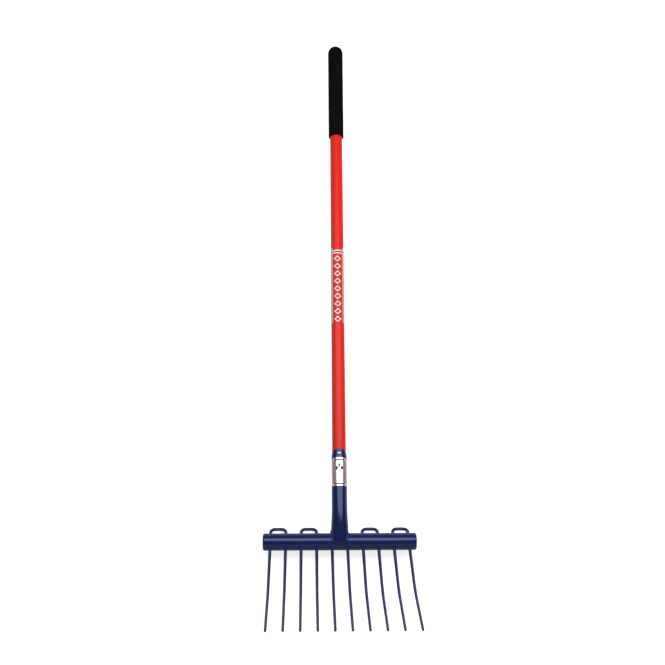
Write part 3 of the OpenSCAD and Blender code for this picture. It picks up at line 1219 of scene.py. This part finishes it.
@dataclass(frozen=True)
class Handle:
    """Red jacketed handle with its core, its plugs and the film on its front.

    Attributes:
        fork: The fork's own frame.
        low_radius: Radius of the jacket where it leaves the socket.
        top_radius: Radius of the jacket under the grip.
        taper_start: Height where the jacket's taper starts.
        taper_end: Height where it ends.
        film_lift: Gap between the jacket and the film.
        film_thickness: Thickness of the film.
        film_wrap: Angle that the film wraps round the shaft.
        film_corner: Radius of the film's corners.
    """

    fork: ForkFrame
    low_radius: float
    top_radius: float
    taper_start: float
    taper_end: float
    film_lift: float = 0.15 * MM
    film_thickness: float = 0.25 * MM
    film_wrap: float = math.radians(170.0)
    film_corner: float = 6.0 * MM

    @classmethod
    def from_frame(cls, fork: ForkFrame) -> Handle:
        """Takes the handle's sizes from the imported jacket, end plug, socket and grip.

        Args:
            fork: The fork's own frame.

        Returns:
            The handle.
        """
        return cls(
            fork,
            fork.extent("handle_jacket")[1].x,
            fork.extent("end_plug")[1].x,
            fork.extent("socket")[1].y,
            fork.extent("hand_grip")[0].y,
        )

    def jacket_radius(self, height: float) -> float:
        """Radius of the jacket at a height along the shaft."""
        share = (height - self.taper_start) / (self.taper_end - self.taper_start)
        return self.low_radius + (self.top_radius - self.low_radius) * share

    def build(self, red: bpy.types.Material, fibre: bpy.types.Material, grey: bpy.types.Material) -> None:
        """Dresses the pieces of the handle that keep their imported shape.

        Args:
            red: Finish of the jacket.
            fibre: Finish of the core.
            grey: Finish of the plugs.
        """
        self.fork.dress("handle_jacket", red)
        self.fork.dress("handle_core", fibre)
        self.fork.dress("core_plug", grey)
        self.fork.dress("end_plug", grey)

    def build_film(self, printed: bpy.types.Material) -> None:
        """Models the film on the front of the shaft.

        Args:
            printed: Finish of the film.
        """
        low, high = self.fork.extent("shaft_decal")
        film = Film(
            width=self.film_wrap * high.z,
            low=low.y,
            high=high.y,
            thickness=self.film_thickness,
            low_corner=self.film_corner,
            top_corner=self.film_corner,
            inner_radius=lambda height: self.jacket_radius(height) + self.film_lift,
        )
        self.fork.add_piece(film.model(), "shaft_film", printed, Slot.DECAL, "shaft_decal")


@dataclass(frozen=True)
class WeldRipple:
    """Ripples of a weld bead.

    Attributes:
        pitch: Distance from one ripple to the next.
        depth: Depth of a ripple as a share of the bead's size.
        drift: Slow unevenness as a share of the bead's size.
        drift_ripples: Number of ripples over which that unevenness changes.
    """

    pitch: float = 2.6 * MM
    depth: float = 0.16
    drift: float = 0.14
    drift_ripples: float = 3.0

    def swell(self, run: float, seed: float) -> float:
        """Works out how the bead's size changes along it.

        Args:
            run: Distance along the bead.
            seed: Number that sets one bead apart from the next.

        Returns:
            The bead's size there, as a share of its full size.
        """
        crest = abs(math.sin(math.pi * run / self.pitch))
        slow = noise.noise(Vector((run / (self.drift_ripples * self.pitch), seed, 0.0)))
        return 1.0 - self.depth * (1.0 - crest) + self.drift * slow


@dataclass(frozen=True)
class Socket:
    """Painted socket tube with a round tongue above and a closed nose that is welded over the bar's front.

    Attributes:
        fork: The fork's own frame.
        foot_radius: Radius of the foot.
        tip: Height of the tongue's tip.
        bar_radius: Radius of the head bar.
        tube_radius: Radius of the tube above the flare.
        wall: Wall of the tube.
        flare_start: Height where the flare starts.
        foot_top: Height below which the foot is straight.
        foot_squash: Depth of the pressed foot at the nose, from front to back, as a share of its width.
        nose_end: Height of the nose's flat end.
        nose_round: Rounding of the nose.
        tongue_side: How much wider the tongue's round outline is than the tube, on each side.
        tongue_root: Distance of the tongue's root below its tip, in radii of the tube.
        saddle_sink: How far the foot reaches into the bar, under the bead.
        rim_bevel: Width of the bevel along the tongues' rims.
        rim_steps: Number of steps in that bevel.
        flare_steps: Number of rows in the flare.
        foot_rows: Number of rows from the foot's top to the bar.
        turn_steps: Number of steps round the tube.
        label_lift: Gap between the tube and the sticker.
        label_thickness: Thickness of the sticker.
        label_wrap: Angle that the sticker wraps round the tube.
        label_low_corner: Radius of the sticker's lower corners.
        label_top_corner: Radius of its upper corners.
        bead_low: Half of the bead's height where socket and bar lie in line.
        bead_high: The same where they meet square.
        bead_width: Half of the bead's width.
        bead_end: Size of the bead's ends, as a share of its full size.
        bead_step: Distance from one section of the bead to the next.
        bead_sides: Number of sides of its section.
        seam_lift: Height of the bead's middle line over the bar.
        seam_halvings: Number of halvings that find the seam.
        front_reach: Half of the front bead's angle round the socket, in degrees.
        back_reach: The same for the short bead at the back.
        ripple: Ripples of the beads.
    """

    fork: ForkFrame
    foot_radius: float
    tip: float
    bar_radius: float
    tube_radius: float = 18.1 * MM
    wall: float = 1.5 * MM
    flare_start: float = 75.0 * MM
    foot_top: float = 25.0 * MM
    foot_squash: float = 0.82
    nose_end: float = -6.0 * MM
    nose_round: float = 11.0 * MM
    tongue_side: float = 0.2 * MM
    tongue_root: float = 1.3
    saddle_sink: float = 0.4 * MM
    rim_bevel: float = 0.45 * MM
    rim_steps: int = 3
    flare_steps: int = 10
    foot_rows: int = 24
    turn_steps: int = 128
    label_lift: float = 0.15 * MM
    label_thickness: float = 0.30 * MM
    label_wrap: float = math.radians(160.0)
    label_low_corner: float = 9.0 * MM
    label_top_corner: float = 17.0 * MM
    bead_low: float = 1.5 * MM
    bead_high: float = 2.3 * MM
    bead_width: float = 2.6 * MM
    bead_end: float = 0.3
    bead_step: float = 0.4 * MM
    bead_sides: int = 16
    seam_lift: float = 0.2 * MM
    seam_halvings: int = 30
    front_reach: float = 110.0
    back_reach: float = 26.0
    ripple: WeldRipple = WeldRipple()

    @classmethod
    def from_frame(cls, fork: ForkFrame) -> Socket:
        """Takes the socket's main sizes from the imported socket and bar.

        Args:
            fork: The fork's own frame.

        Returns:
            The socket.
        """
        high = fork.extent("socket")[1]
        bar_low, bar_high = fork.extent("head_bar")
        return cls(fork, high.x, high.y, (bar_high.z - bar_low.z) / 2)

    @property
    def nose_start(self) -> float:
        """Height where the nose's rounding starts."""
        return self.nose_end + self.nose_round

    def flare_share(self, height: float) -> float:
        """How far the tube has gone over into the foot, from zero above the flare to one below it."""
        share = clamp((self.flare_start - height) / (self.flare_start - self.foot_top))
        return share * share * (3.0 - 2.0 * share)

    def half_width(self, height: float) -> float:
        """Half of the width from side to side at a height along the shaft."""
        return self.tube_radius + (self.foot_radius - self.tube_radius) * self.flare_share(height)

    def squash(self, height: float) -> float:
        """Works out how flat the foot is pressed: its front sinks towards the nose while it widens.

        Args:
            height: Height along the shaft.

        Returns:
            Depth from front to back as a share of the width.
        """
        share = clamp((self.flare_start - height) / (self.flare_start - self.nose_start))
        depth = self.tube_radius + (self.foot_radius * self.foot_squash - self.tube_radius) * share**2
        return depth / self.half_width(height)

    def foot_outline(self, run: float) -> tuple[Vector, Vector]:
        """Works out a point of the foot's outline, down its side, round the nose and in along the flat end.

        Args:
            run: Distance along the outline from the foot's top.

        Returns:
            The point's radius and height, and the outward direction there.
        """
        side = self.foot_top - self.nose_start
        bend = self.nose_round * math.pi / 2
        turn = max(0.0, min(math.pi / 2, (run - side) / self.nose_round))
        outward = Vector((math.cos(turn), -math.sin(turn)))
        centre = Vector((self.foot_radius - self.nose_round, self.nose_start))
        point = centre + outward * self.nose_round
        point.y += max(0.0, side - run)
        point.x -= max(0.0, run - side - bend)
        return point, outward

    def seam_run(self, turn: float, reach: float) -> float:
        """Finds where the foot's outline meets a cylinder round the bar, by halving.

        Args:
            turn: Angle round the socket, with zero at the front.
            reach: Radius of the cylinder.

        Returns:
            Distance of the meeting place along the outline.
        """
        clear = 0.0
        sunk = self.foot_top + self.foot_radius + self.nose_round
        for _ in range(self.seam_halvings):
            middle = (clear + sunk) / 2
            point = self.foot_outline(middle)[0]
            depth = point.x * self.squash(point.y) * math.cos(turn)
            off_bar = Vector((point.y, depth)) - self.fork.bar_place.yz
            if off_bar.length > reach:
                clear = middle
            else:
                sunk = middle
        return clear

    def build(self, paint: bpy.types.Material, steel: bpy.types.Material) -> None:
        """Models the painted tube, and dresses the steel rivet."""
        self.fork.add_piece(self.model_tube(), "socket_tube", paint, Slot.HEAD, "socket")
        self.fork.dress("socket_rivet", steel)

    def model_tube(self) -> bmesh.types.BMesh:
        """Models the tube, with its tongues at the front and back and its nose over the bar.

        Returns:
            The tube.
        """
        rise = self.flare_start - self.foot_top
        rows = range(self.foot_rows, 0, -1)
        heights = [self.foot_top + rise * step / self.flare_steps for step in range(self.flare_steps + 1)]
        shoulder = self.tip - self.tongue_root * self.tube_radius
        outside = [(self.foot_radius, self.foot_top * (1.0 - row / self.foot_rows)) for row in rows]
        outside += [(self.half_width(height), height) for height in heights]
        outside += [(self.tube_radius, shoulder), (self.tube_radius, self.tip)]
        inside = [(radius - self.wall, height) for radius, height in reversed(outside)]
        tube = spin_outline(outside + inside, self.turn_steps, ring=True)
        tongue_radius = self.tube_radius + self.tongue_side
        tongue_centre = self.tip - tongue_radius
        rim = {vertex for vertex in tube.verts if vertex.co.y > self.tip - self.rim_bevel}
        for vertex in tube.verts:
            if vertex in rim:
                vertex.co.y = tongue_centre + math.sqrt(tongue_radius**2 - vertex.co.x**2)
            elif vertex.co.y < self.foot_top - MERGE_DISTANCE:
                self.fold_round_nose(vertex)
            else:
                vertex.co.z *= self.squash(vertex.co.y)
        edges = [
            edge
            for edge in tube.edges
            if set(edge.verts) <= rim and edge.calc_face_angle(0.0) > CREASE_ANGLE
        ]
        bmesh.ops.bevel(
            tube,
            geom=edges,
            offset=self.rim_bevel,
            affect="EDGES",
            segments=self.rim_steps,
            profile=0.5,
            material=-1,
        )
        return tube

    def fold_round_nose(self, vertex: bmesh.types.BMVert) -> None:
        """Moves a vertex of the straight foot to its place on the nose, which ends in the bar.

        Args:
            vertex: Vertex of the foot's outer or inner wall.
        """
        turn = math.atan2(vertex.co.x, vertex.co.z)
        share = 1.0 - vertex.co.y / self.foot_top
        depth = self.foot_radius - math.hypot(vertex.co.x, vertex.co.z)
        run = self.seam_run(turn, self.bar_radius - self.saddle_sink) * share
        point, outward = self.foot_outline(run)
        point -= outward * depth
        vertex.co = (point.x * math.sin(turn), point.y, point.x * math.cos(turn) * self.squash(point.y))

    def build_label(self, foil: bpy.types.Material) -> None:
        """Models the sticker on the front of the tube.

        Args:
            foil: Finish of the sticker.
        """
        low, high = self.fork.extent("socket_label")
        inner = self.tube_radius + self.label_lift
        label = Film(
            width=self.label_wrap * (inner + self.label_thickness),
            low=low.y,
            high=high.y,
            thickness=self.label_thickness,
            low_corner=self.label_low_corner,
            top_corner=self.label_top_corner,
            inner_radius=lambda height: inner,
        )
        self.fork.add_piece(label.model(), "socket_sticker", foil, Slot.LABEL, "socket_label")

    def build_weld(self, paint: bpy.types.Material) -> None:
        """Models the beads between the socket and the bar, at the front and at the back.

        Args:
            paint: Finish of the beads.
        """
        front = self.model_bead(middle=0.0, half=self.front_reach, seed=1.0)
        back = self.model_bead(middle=180.0, half=self.back_reach, seed=2.0)
        beads = join_shapes((front, back))
        self.fork.add_piece(beads, "socket_weld_beads", paint, Slot.HEAD, "socket_weld")

    def seam_place(self, turn: float) -> tuple[Vector, Vector]:
        """Works out a place on the seam between the socket and the bar.

        Args:
            turn: Angle round the socket, with zero at the front.

        Returns:
            The place and the socket's outward direction there.
        """
        run = self.seam_run(turn, self.bar_radius + self.seam_lift)
        point, outward = self.foot_outline(run)
        squash = self.squash(point.y)
        place = Vector((point.x * math.sin(turn), point.y, point.x * math.cos(turn) * squash))
        facing = Vector((outward.x * math.sin(turn), outward.y, outward.x * math.cos(turn) / squash))
        return place, facing.normalized()

    def model_bead(self, middle: float, half: float, seed: float) -> bmesh.types.BMesh:
        """Models a rippled bead along an arc of the seam.

        Args:
            middle: Angle of the arc's middle round the socket, in degrees.
            half: Half of the arc's angle, in degrees.
            seed: Number that sets the bead's ripples.

        Returns:
            The bead.
        """
        steps = round(2 * math.radians(half) * self.foot_radius / self.bead_step)
        turns = [math.radians(middle + half * (2 * step / steps - 1)) for step in range(steps + 1)]
        nudge = math.radians(half) / steps
        stations = []
        run = 0.0
        before = self.seam_place(turns[0])[0]
        for step, turn in enumerate(turns):
            place, on_socket = self.seam_place(turn)
            along = (self.seam_place(turn + nudge)[0] - self.seam_place(turn - nudge)[0]).normalized()
            off_bar = place - self.fork.bar_place
            on_bar = Vector((0.0, off_bar.y, off_bar.z)).normalized()
            out = (on_socket + on_bar).normalized()
            side = out.cross(along).normalized()
            corner = 1.0 - on_socket.dot(on_bar)
            height = self.bead_low + (self.bead_high - self.bead_low) * corner
            from_end = min(step, steps - step) * self.bead_step / self.bead_width
            fullness = min(1.0, self.bead_end + (1.0 - self.bead_end) * from_end)
            run += (place - before).length
            before = place
            size = fullness * self.ripple.swell(run, seed)
            stations.append(station(place, side, along, self.bead_width * size, height * size))
        return sweep_section(stations, self.bead_sides)


@dataclass(frozen=True)
class HeadBar:
    """Painted cross tube and its end caps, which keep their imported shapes.

    Attributes:
        fork: The fork's own frame.
    """

    fork: ForkFrame

    def build(self, paint: bpy.types.Material) -> None:
        """Dresses the bar and its caps."""
        for node in ("head_bar", "bar_end_cap_left", "bar_end_cap_right"):
            self.fork.dress(node, paint)


@dataclass(frozen=True)
class TineSet:
    """Five bent rods of two tines each, and the beads that hold them in the bar.

    Attributes:
        fork: The fork's own frame.
        bar_radius: Radius of the head bar.
        pitch: Distance from one tine to the next.
        rod_radius: Radius of the rod in the bar.
        tip_radius: Radius of a tine just before its point.
        point_length: Length of a tine's point.
        root_angle: Angle of the roots to the shaft line.
        bend_angle: Angle of the bend in the middle of a tine.
        bend_radius: Radius of that bend.
        root_length: Length from the middle of the bar to the bend.
        end_length: Length from the bend to the tip.
        loop_depth: Distance from the middle of the bar to a loop's cross rod.
        loop_bend: Bend radius at a loop's corners.
        point_power: Power that makes the point blunt.
        point_close: Share of the point's length at which its last section closes it.
        hairpins: Number of bent rods.
        rod_sides: Number of sides of the rod's section.
        straight_steps: Number of sections in each straight stretch of a tine.
        bend_steps: Number of sections in its bend.
        point_steps: Number of sections in its point.
        corner_steps: Number of steps round a loop's corner.
        bead_along_bar: Half of a bead's width on the bar.
        bead_along_rod: Half of its height along the rod.
        bead_steps: Number of sections in a bead.
        bead_sides: Number of sides of a bead's section.
        bead_seed: Number that sets the front beads' ripples apart from the back ones'.
        ripple: Ripples of the beads.
    """

    fork: ForkFrame
    bar_radius: float
    pitch: float = 36.3 * MM
    rod_radius: float = 3.75 * MM
    tip_radius: float = 3.0 * MM
    point_length: float = 9.0 * MM
    root_angle: float = math.radians(44.0)
    bend_angle: float = math.radians(15.0)
    bend_radius: float = 305.0 * MM
    root_length: float = 130.0 * MM
    end_length: float = 138.0 * MM
    loop_depth: float = 46.5 * MM
    loop_bend: float = 11.0 * MM
    point_power: int = 3
    point_close: float = 0.992
    hairpins: int = 5
    rod_sides: int = 24
    straight_steps: int = 6
    bend_steps: int = 14
    point_steps: int = 9
    corner_steps: int = 12
    bead_along_bar: float = 2.7 * MM
    bead_along_rod: float = 1.7 * MM
    bead_steps: int = 44
    bead_sides: int = 14
    bead_seed: float = 10.0
    ripple: WeldRipple = WeldRipple()

    @classmethod
    def from_frame(cls, fork: ForkFrame) -> TineSet:
        """Takes the bar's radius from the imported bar."""
        low, high = fork.extent("head_bar")
        return cls(fork, (high.z - low.z) / 2)

    @property
    def bend_length(self) -> float:
        """Length of rod in the bend of a tine."""
        return self.bend_radius * self.bend_angle

    @property
    def tine_length(self) -> float:
        """Length of a tine from the middle of the bar to its tip."""
        return self.root_length + self.bend_length + self.end_length

    @property
    def across(self) -> Vector:
        """Direction along the bar."""
        return Vector((1.0, 0.0, 0.0))

    def heading(self, angle: float) -> Vector:
        """Direction of a tine at an angle to the shaft line."""
        return Vector((0.0, -math.cos(angle), math.sin(angle)))

    def tine_angle(self, run: float) -> float:
        """Angle of a tine at a distance along it."""
        share = clamp((run - self.root_length) / self.bend_length)
        return self.root_angle + self.bend_angle * share

    def tine_place(self, run: float) -> Vector:
        """Works out a place on the middle line of a tine.

        Args:
            run: Distance along the tine from the middle of the bar.

        Returns:
            The place, for a tine that starts at the middle of the bar.
        """
        root = self.heading(self.root_angle)
        if run <= self.root_length:
            return root * run
        angle = self.tine_angle(run)
        turned = self.across.cross(root) - self.across.cross(self.heading(angle))
        past_bend = max(0.0, run - self.root_length - self.bend_length)
        return root * self.root_length - self.bend_radius * turned + self.heading(angle) * past_bend

    def tine_radius(self, run: float) -> float:
        """Works out the radius of a tine, which tapers evenly and ends in a blunt point.

        Args:
            run: Distance along the tine from the middle of the bar.

        Returns:
            The radius there.
        """
        point_start = self.tine_length - self.point_length
        taper = clamp((run - self.bar_radius) / (point_start - self.bar_radius))
        radius = self.rod_radius + (self.tip_radius - self.rod_radius) * taper
        if run <= point_start:
            return radius
        past = (run - point_start) / self.point_length
        return radius * math.sqrt(1.0 - past**self.point_power)

    def tine_runs(self) -> list[float]:
        """Spaces the sections along a tine, closer together towards the end of its point.

        Returns:
            Their distances along the tine, from the bar to just short of the tip.
        """
        bend_end = self.root_length + self.bend_length
        point_start = self.tine_length - self.point_length
        stretches = [
            (self.bar_radius, self.root_length, self.straight_steps),
            (self.root_length, bend_end, self.bend_steps),
            (bend_end, point_start, self.straight_steps),
        ]
        runs = [
            start + (end - start) * step / steps for start, end, steps in stretches for step in range(steps)
        ]
        shares = [1.0 - (1.0 - step / self.point_steps) ** 2 for step in range(self.point_steps)]
        return runs + [point_start + self.point_length * share for share in [*shares, self.point_close]]

    def hairpin_stations(self, middle: float) -> list[Matrix]:
        """Places the sections of one bent rod.

        Args:
            middle: Place along the bar of the middle of the rod's two tines.

        Returns:
            The sections from the left tip, round the loop, to the right tip.
        """
        runs = self.tine_runs()
        half = self.across * (self.pitch / 2)
        centre = self.across * middle
        left = [self.leg_station(centre - half, run, self.across, -1.0) for run in reversed(runs)]
        right = [self.leg_station(centre + half, run, -self.across, 1.0) for run in runs]
        return left + self.loop_stations(centre) + right

    def leg_station(self, start: Vector, run: float, side: Vector, sense: float) -> Matrix:
        """Places one section of a tine.

        Args:
            start: Place of the tine in the middle of the bar.
            run: Distance along the tine.
            side: Direction of the section's width.
            sense: One where the rod runs to the tip, and minus one where it runs to the bar.

        Returns:
            The section.
        """
        along = self.heading(self.tine_angle(run)) * sense
        radius = self.tine_radius(run)
        return station(start + self.tine_place(run), side, along, radius, radius)

    def loop_stations(self, centre: Vector) -> list[Matrix]:
        """Places the sections of the loop behind the bar.

        Args:
            centre: Place of the loop's middle in the middle of the bar.

        Returns:
            The sections round the left corner and then round the right one.
        """
        back = -self.heading(self.root_angle)
        normal = back.cross(self.across)
        corner_across = self.pitch / 2 - self.loop_bend
        corner_back = self.loop_depth - self.loop_bend
        stations = []
        for hand in (-1.0, 1.0):
            for step in range(self.corner_steps + 1):
                turn = math.pi / 2 * step / self.corner_steps
                lean = turn if hand < 0 else math.pi / 2 - turn
                place = (
                    centre
                    + self.across * (hand * (corner_across + self.loop_bend * math.cos(lean)))
                    + back * (corner_back + self.loop_bend * math.sin(lean))
                )
                along = self.across * math.sin(lean) - back * (hand * math.cos(lean))
                stations.append(station(place, normal.cross(along), along, self.rod_radius, self.rod_radius))
        return stations

    def build(self, paint: bpy.types.Material) -> None:
        """Models the bent rods.

        Args:
            paint: Finish of the rods.
        """
        for number in range(1, self.hairpins + 1):
            middle = (number - (self.hairpins + 1) / 2) * 2 * self.pitch
            rod = sweep_section(self.hairpin_stations(middle), self.rod_sides)
            bmesh.ops.translate(rod, vec=self.fork.bar_place, verts=rod.verts[:])
            self.fork.add_piece(rod, f"hairpin_rod_{number}", paint, Slot.TINE, f"tine_hairpin_{number}")

    def model_bead(self, across: float, side: Side, seed: float) -> bmesh.types.BMesh:
        """Models the rippled bead round one rod, along the line where it meets the bar.

        Args:
            across: Place of the rod along the bar.
            side: Side of the bar that the bead is on.
            seed: Number that sets the bead's ripples.

        Returns:
            The bead.
        """
        axis = self.heading(self.root_angle) * side.value
        lift = self.across.cross(axis)
        outer_line = 2 * self.rod_radius
        stations = []
        for step in range(self.bead_steps):
            turn = math.tau * step / self.bead_steps
            outward = self.across * math.cos(turn) + lift * math.sin(turn)
            depth = math.sqrt(self.bar_radius**2 - (self.rod_radius * math.sin(turn)) ** 2)
            place = self.across * across + outward * self.rod_radius + axis * depth
            along = lift * math.cos(turn) - self.across * math.sin(turn)
            size = self.ripple.swell(turn * outer_line, seed)
            stations.append(
                station(place, outward, along, self.bead_along_bar * size, self.bead_along_rod * size)
            )
        return sweep_section(stations, self.bead_sides, closed=True)

    def build_welds(self, paint: bpy.types.Material) -> None:
        """Models the beads round the rods, at the front of the bar and at its back.

        Args:
            paint: Finish of the beads.
        """
        first = -(2 * self.hairpins - 1) / 2 * self.pitch
        places = [first + number * self.pitch for number in range(2 * self.hairpins)]
        for side, name, node in (
            (Side.FRONT, "tine_weld_beads", "tine_welds"),
            (Side.BACK, "loop_weld_beads", "loop_welds"),
        ):
            beads = join_shapes(
                self.model_bead(place, side, self.bead_seed * side.value + number)
                for number, place in enumerate(places)
            )
            bmesh.ops.translate(beads, vec=self.fork.bar_place, verts=beads.verts[:])
            self.fork.add_piece(beads, name, paint, Slot.HEAD, node)


# Studio


@dataclass(frozen=True)
class SoftBox:
    """An oval soft lamp, placed in the fork's own frame.

    Attributes:
        name: Name of the lamp.
        place: Middle of the lamp.
        aim: Place that it faces.
        width: Size along the head bar.
        length: Size along the shaft.
        power: Power in watts.
    """

    name: str
    place: Place
    aim: Place
    width: float
    length: float
    power: float

    def build(self, fork: ForkFrame) -> None:
        """Hangs the lamp.

        Args:
            fork: The fork's own frame.
        """
        lamp = bpy.data.lights.new(self.name, "AREA")
        lamp.shape = "ELLIPSE"
        lamp.size = self.width
        lamp.size_y = self.length
        lamp.energy = self.power
        hung = bpy.data.objects.new(self.name, lamp)
        place = fork.lay_down @ Vector(self.place)
        facing = fork.lay_down @ Vector(self.aim) - place
        hung.matrix_world = Matrix.Translation(place) @ facing.to_track_quat("-Z", "Y").to_matrix().to_4x4()
        hung.visible_camera = False
        bpy.context.scene.collection.objects.link(hung)


@dataclass(frozen=True)
class ViewPoint:
    """Where the camera stands and how it is turned, in the fork's own frame.

    Attributes:
        eye: Place of the camera.
        pitch: Angle from straight down, about the head bar, in degrees.
        yaw: Angle about the shaft, in degrees.
        roll: Angle about the line of sight, in degrees.
        focal_pixels: Focal length in pixels of the image.
        image_pixels: Width of the image.
    """

    eye: Place = (-74.8 * MM, -303.0 * MM, 2606.0 * MM)
    pitch: float = -17.37
    yaw: float = 1.35
    roll: float = 0.44
    focal_pixels: float = 1100.0
    image_pixels: float = 665.0

    def build(self, fork: ForkFrame) -> None:
        """Sets up the camera.

        Args:
            fork: The fork's own frame.
        """
        data = bpy.data.cameras.new("photo_camera")
        data.lens = self.focal_pixels / self.image_pixels * data.sensor_width
        camera = bpy.data.objects.new("photo_camera", data)
        turns = ((self.roll, "Z"), (self.pitch, "X"), (self.yaw, "Y"))
        sight = Matrix.Identity(4)
        for angle, axis in turns:
            sight = sight @ Matrix.Rotation(math.radians(angle), 4, axis)
        camera.matrix_world = fork.lay_down @ Matrix.Translation(self.eye) @ sight.transposed()
        bpy.context.scene.collection.objects.link(camera)
        bpy.context.scene.camera = camera


@dataclass(frozen=True)
class Studio:
    """White floor, dim room with a pale wall all round, soft lamps and the camera.

    Attributes:
        fork: The fork's own frame.
        floor_half: Half of the floor's width.
        floor_colour: Colour of the floor.
        floor_roughness: Its roughness.
        seen_glow: Plain white added to what is seen of the floor, under the fork and well away from it.
        mirror_glow: The same, as gloss and glass mirror it.
        glow_reach: Distance from the shaft line over which the one goes over into the other.
        glow_half_length: Half of the length of that line.
        wall_level: Brightness of the pale wall.
        room_level: Brightness of the room above the wall.
        wall_top: Height of the wall's top, as the sine of its angle above the floor.
        wall_fade: Height at which the wall has faded into the room.
        lamps: Soft lamps.
        view_point: Place and turn of the camera.
    """

    fork: ForkFrame
    floor_half: float = 12.0
    floor_colour: Colour = (0.62, 0.62, 0.62)
    floor_roughness: float = 0.9
    seen_glow: Span = (0.77, 1.0)
    mirror_glow: Span = (0.04, 0.35)
    glow_reach: Span = (0.22, 0.36)
    glow_half_length: float = 0.65
    wall_level: float = 0.18
    room_level: float = 0.10
    wall_top: float = 0.12
    wall_fade: float = 0.40
    lamps: tuple[SoftBox, ...] = (
        SoftBox(
            name="overhead_softbox",
            place=(0.30, 0.93, 1.80),
            aim=(0.30, 0.93, 0.0),
            width=4.20,
            length=1.36,
            power=57.0,
        ),
        SoftBox(
            name="front_fill",
            place=(0.10, -2.20, 1.10),
            aim=(0.0, -0.10, 0.0),
            width=4.00,
            length=2.00,
            power=9.0,
        ),
    )
    view_point: ViewPoint = ViewPoint()

    def build(self) -> None:
        """Builds the studio round the fork."""
        bpy.context.scene.view_settings.view_transform = "Standard"
        self.lay_floor()
        self.light_room()
        for lamp in self.lamps:
            lamp.build(self.fork)
        self.view_point.build(self.fork)

    def lay_floor(self) -> None:
        """Lays the white floor, which keeps the fork's shadow."""
        mesh = bmesh.new()
        bmesh.ops.create_grid(mesh, x_segments=1, y_segments=1, size=self.floor_half)
        data = bpy.data.meshes.new("studio_floor")
        mesh.to_mesh(data)
        mesh.free()
        data.materials.append(self.floor_material())
        floor = bpy.data.objects.new("studio_floor", data)
        bpy.context.scene.collection.objects.link(floor)

    def floor_material(self) -> bpy.types.Material:
        """Builds the floor's finish, which looks white and still shows shadows.

        Returns:
            The finish.
        """
        made = bpy.data.materials.new("white_floor")
        made.use_nodes = True
        net = Wiring(made.node_tree)
        paper = made.node_tree.nodes["Principled BSDF"]
        net.feed(paper, "Base Color", self.floor_colour)
        net.feed(paper, "Roughness", self.floor_roughness)
        net.feed(paper, "Specular IOR Level", 0.0)
        path = net.add("ShaderNodeLightPath")
        seen = path.outputs["Is Camera Ray"]
        mirrored = net.math("MAXIMUM", path.outputs["Is Glossy Ray"], path.outputs["Is Transmission Ray"])
        parts = net.add("ShaderNodeSeparateXYZ", {0: net.add("ShaderNodeTexCoord").outputs["Object"]})
        beside = net.math("ABSOLUTE", parts.outputs["X"])
        past_end = net.math("SUBTRACT", net.math("ABSOLUTE", parts.outputs["Y"]), self.glow_half_length)
        from_line = net.math("MAXIMUM", beside, past_end)
        seen_white = net.math("MULTIPLY", seen, net.ease(from_line, self.glow_reach, self.seen_glow))
        mirror_level = net.ease(beside, self.glow_reach, self.mirror_glow)
        mirrored_white = net.math("MULTIPLY", mirrored, mirror_level)
        level = net.math("ADD", seen_white, mirrored_white)
        glow = net.add("ShaderNodeEmission", {"Color": WHITE, "Strength": level})
        both = net.add("ShaderNodeAddShader", {0: paper.outputs[0], 1: glow.outputs[0]})
        net.feed(made.node_tree.nodes["Material Output"], "Surface", both.outputs[0])
        return made

    def light_room(self) -> None:
        """Lights the room with a pale wall that fades upwards and looks white to the camera."""
        world = bpy.data.worlds.new("studio_room")
        world.use_nodes = True
        net = Wiring(world.node_tree)
        parts = net.add("ShaderNodeSeparateXYZ", {0: net.add("ShaderNodeTexCoord").outputs["Generated"]})
        heights = (self.wall_top, self.wall_fade)
        level = net.ease(parts.outputs["Z"], heights, (self.wall_level, self.room_level))
        seen = net.add("ShaderNodeLightPath").outputs["Is Camera Ray"]
        sky = world.node_tree.nodes["Background"]
        net.feed(sky, "Color", WHITE)
        net.feed(sky, "Strength", net.math("MAXIMUM", level, seen))
        bpy.context.scene.world = world


def main() -> None:
    """Builds the finishes and the studio, then the fork's pieces in order."""
    logging.basicConfig(level=logging.INFO, format="%(name)s: %(message)s")
    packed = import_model()
    fork = ForkFrame.from_packed(packed)
    effects = Effects()
    head_paint = PowderCoat(name="navy_head_paint", effects=effects).material()
    tine_paint = PowderCoat(
        name="navy_tine_paint", effects=effects, grain_scale=800.0, rub_cover=0.46
    ).material()
    # The socket tube gets a darker copy of the navy paint. This is painted shade for the lesser light on its
    # sides; the bar, the welds and the tines keep the plain paint.
    painted_shade_socket_paint = PowderCoat(
        name="navy_paint_painted_shade_socket",
        effects=effects,
        colour=(0.0060, 0.0120, 0.0730),
        tint=(0.0084, 0.0152, 0.0850),
    ).material()
    jacket_red = DrawnPlastic(name="red_jacket_plastic", effects=effects).material()
    plug_grey = MouldedPlastic(name="grey_plug_plastic", effects=effects).material()
    core_fibre = MouldedPlastic(
        name="glass_fibre",
        effects=effects,
        colour=(0.60, 0.48, 0.22),
        tint=(0.50, 0.40, 0.18),
        grain_stretch=(1.0, 0.02, 1.0),
    ).material()
    grip_rubber = MouldedRubber(name="black_grip_rubber", effects=effects).material()
    rivet_steel = BrightSteel(name="bright_rivet_steel", effects=effects).material()
    film_print = PrintedFilm(name="shaft_film_print", effects=effects).material()
    sticker_foil = PrintedFoil(name="sticker_foil", effects=effects).material()

    Studio(fork).build()
    HandGrip.from_frame(fork).build(grip_rubber)
    handle = Handle.from_frame(fork)
    handle.build(jacket_red, core_fibre, plug_grey)
    handle.build_film(film_print)
    socket = Socket.from_frame(fork)
    # The socket tube takes the darker, painted-shade copy of the navy paint.
    socket.build(painted_shade_socket_paint, rivet_steel)
    socket.build_label(sticker_foil)
    socket.build_weld(head_paint)
    HeadBar(fork).build(head_paint)
    tines = TineSet.from_frame(fork)
    tines.build(tine_paint)
    tines.build_welds(head_paint)


if __name__ == "__main__":
    main()
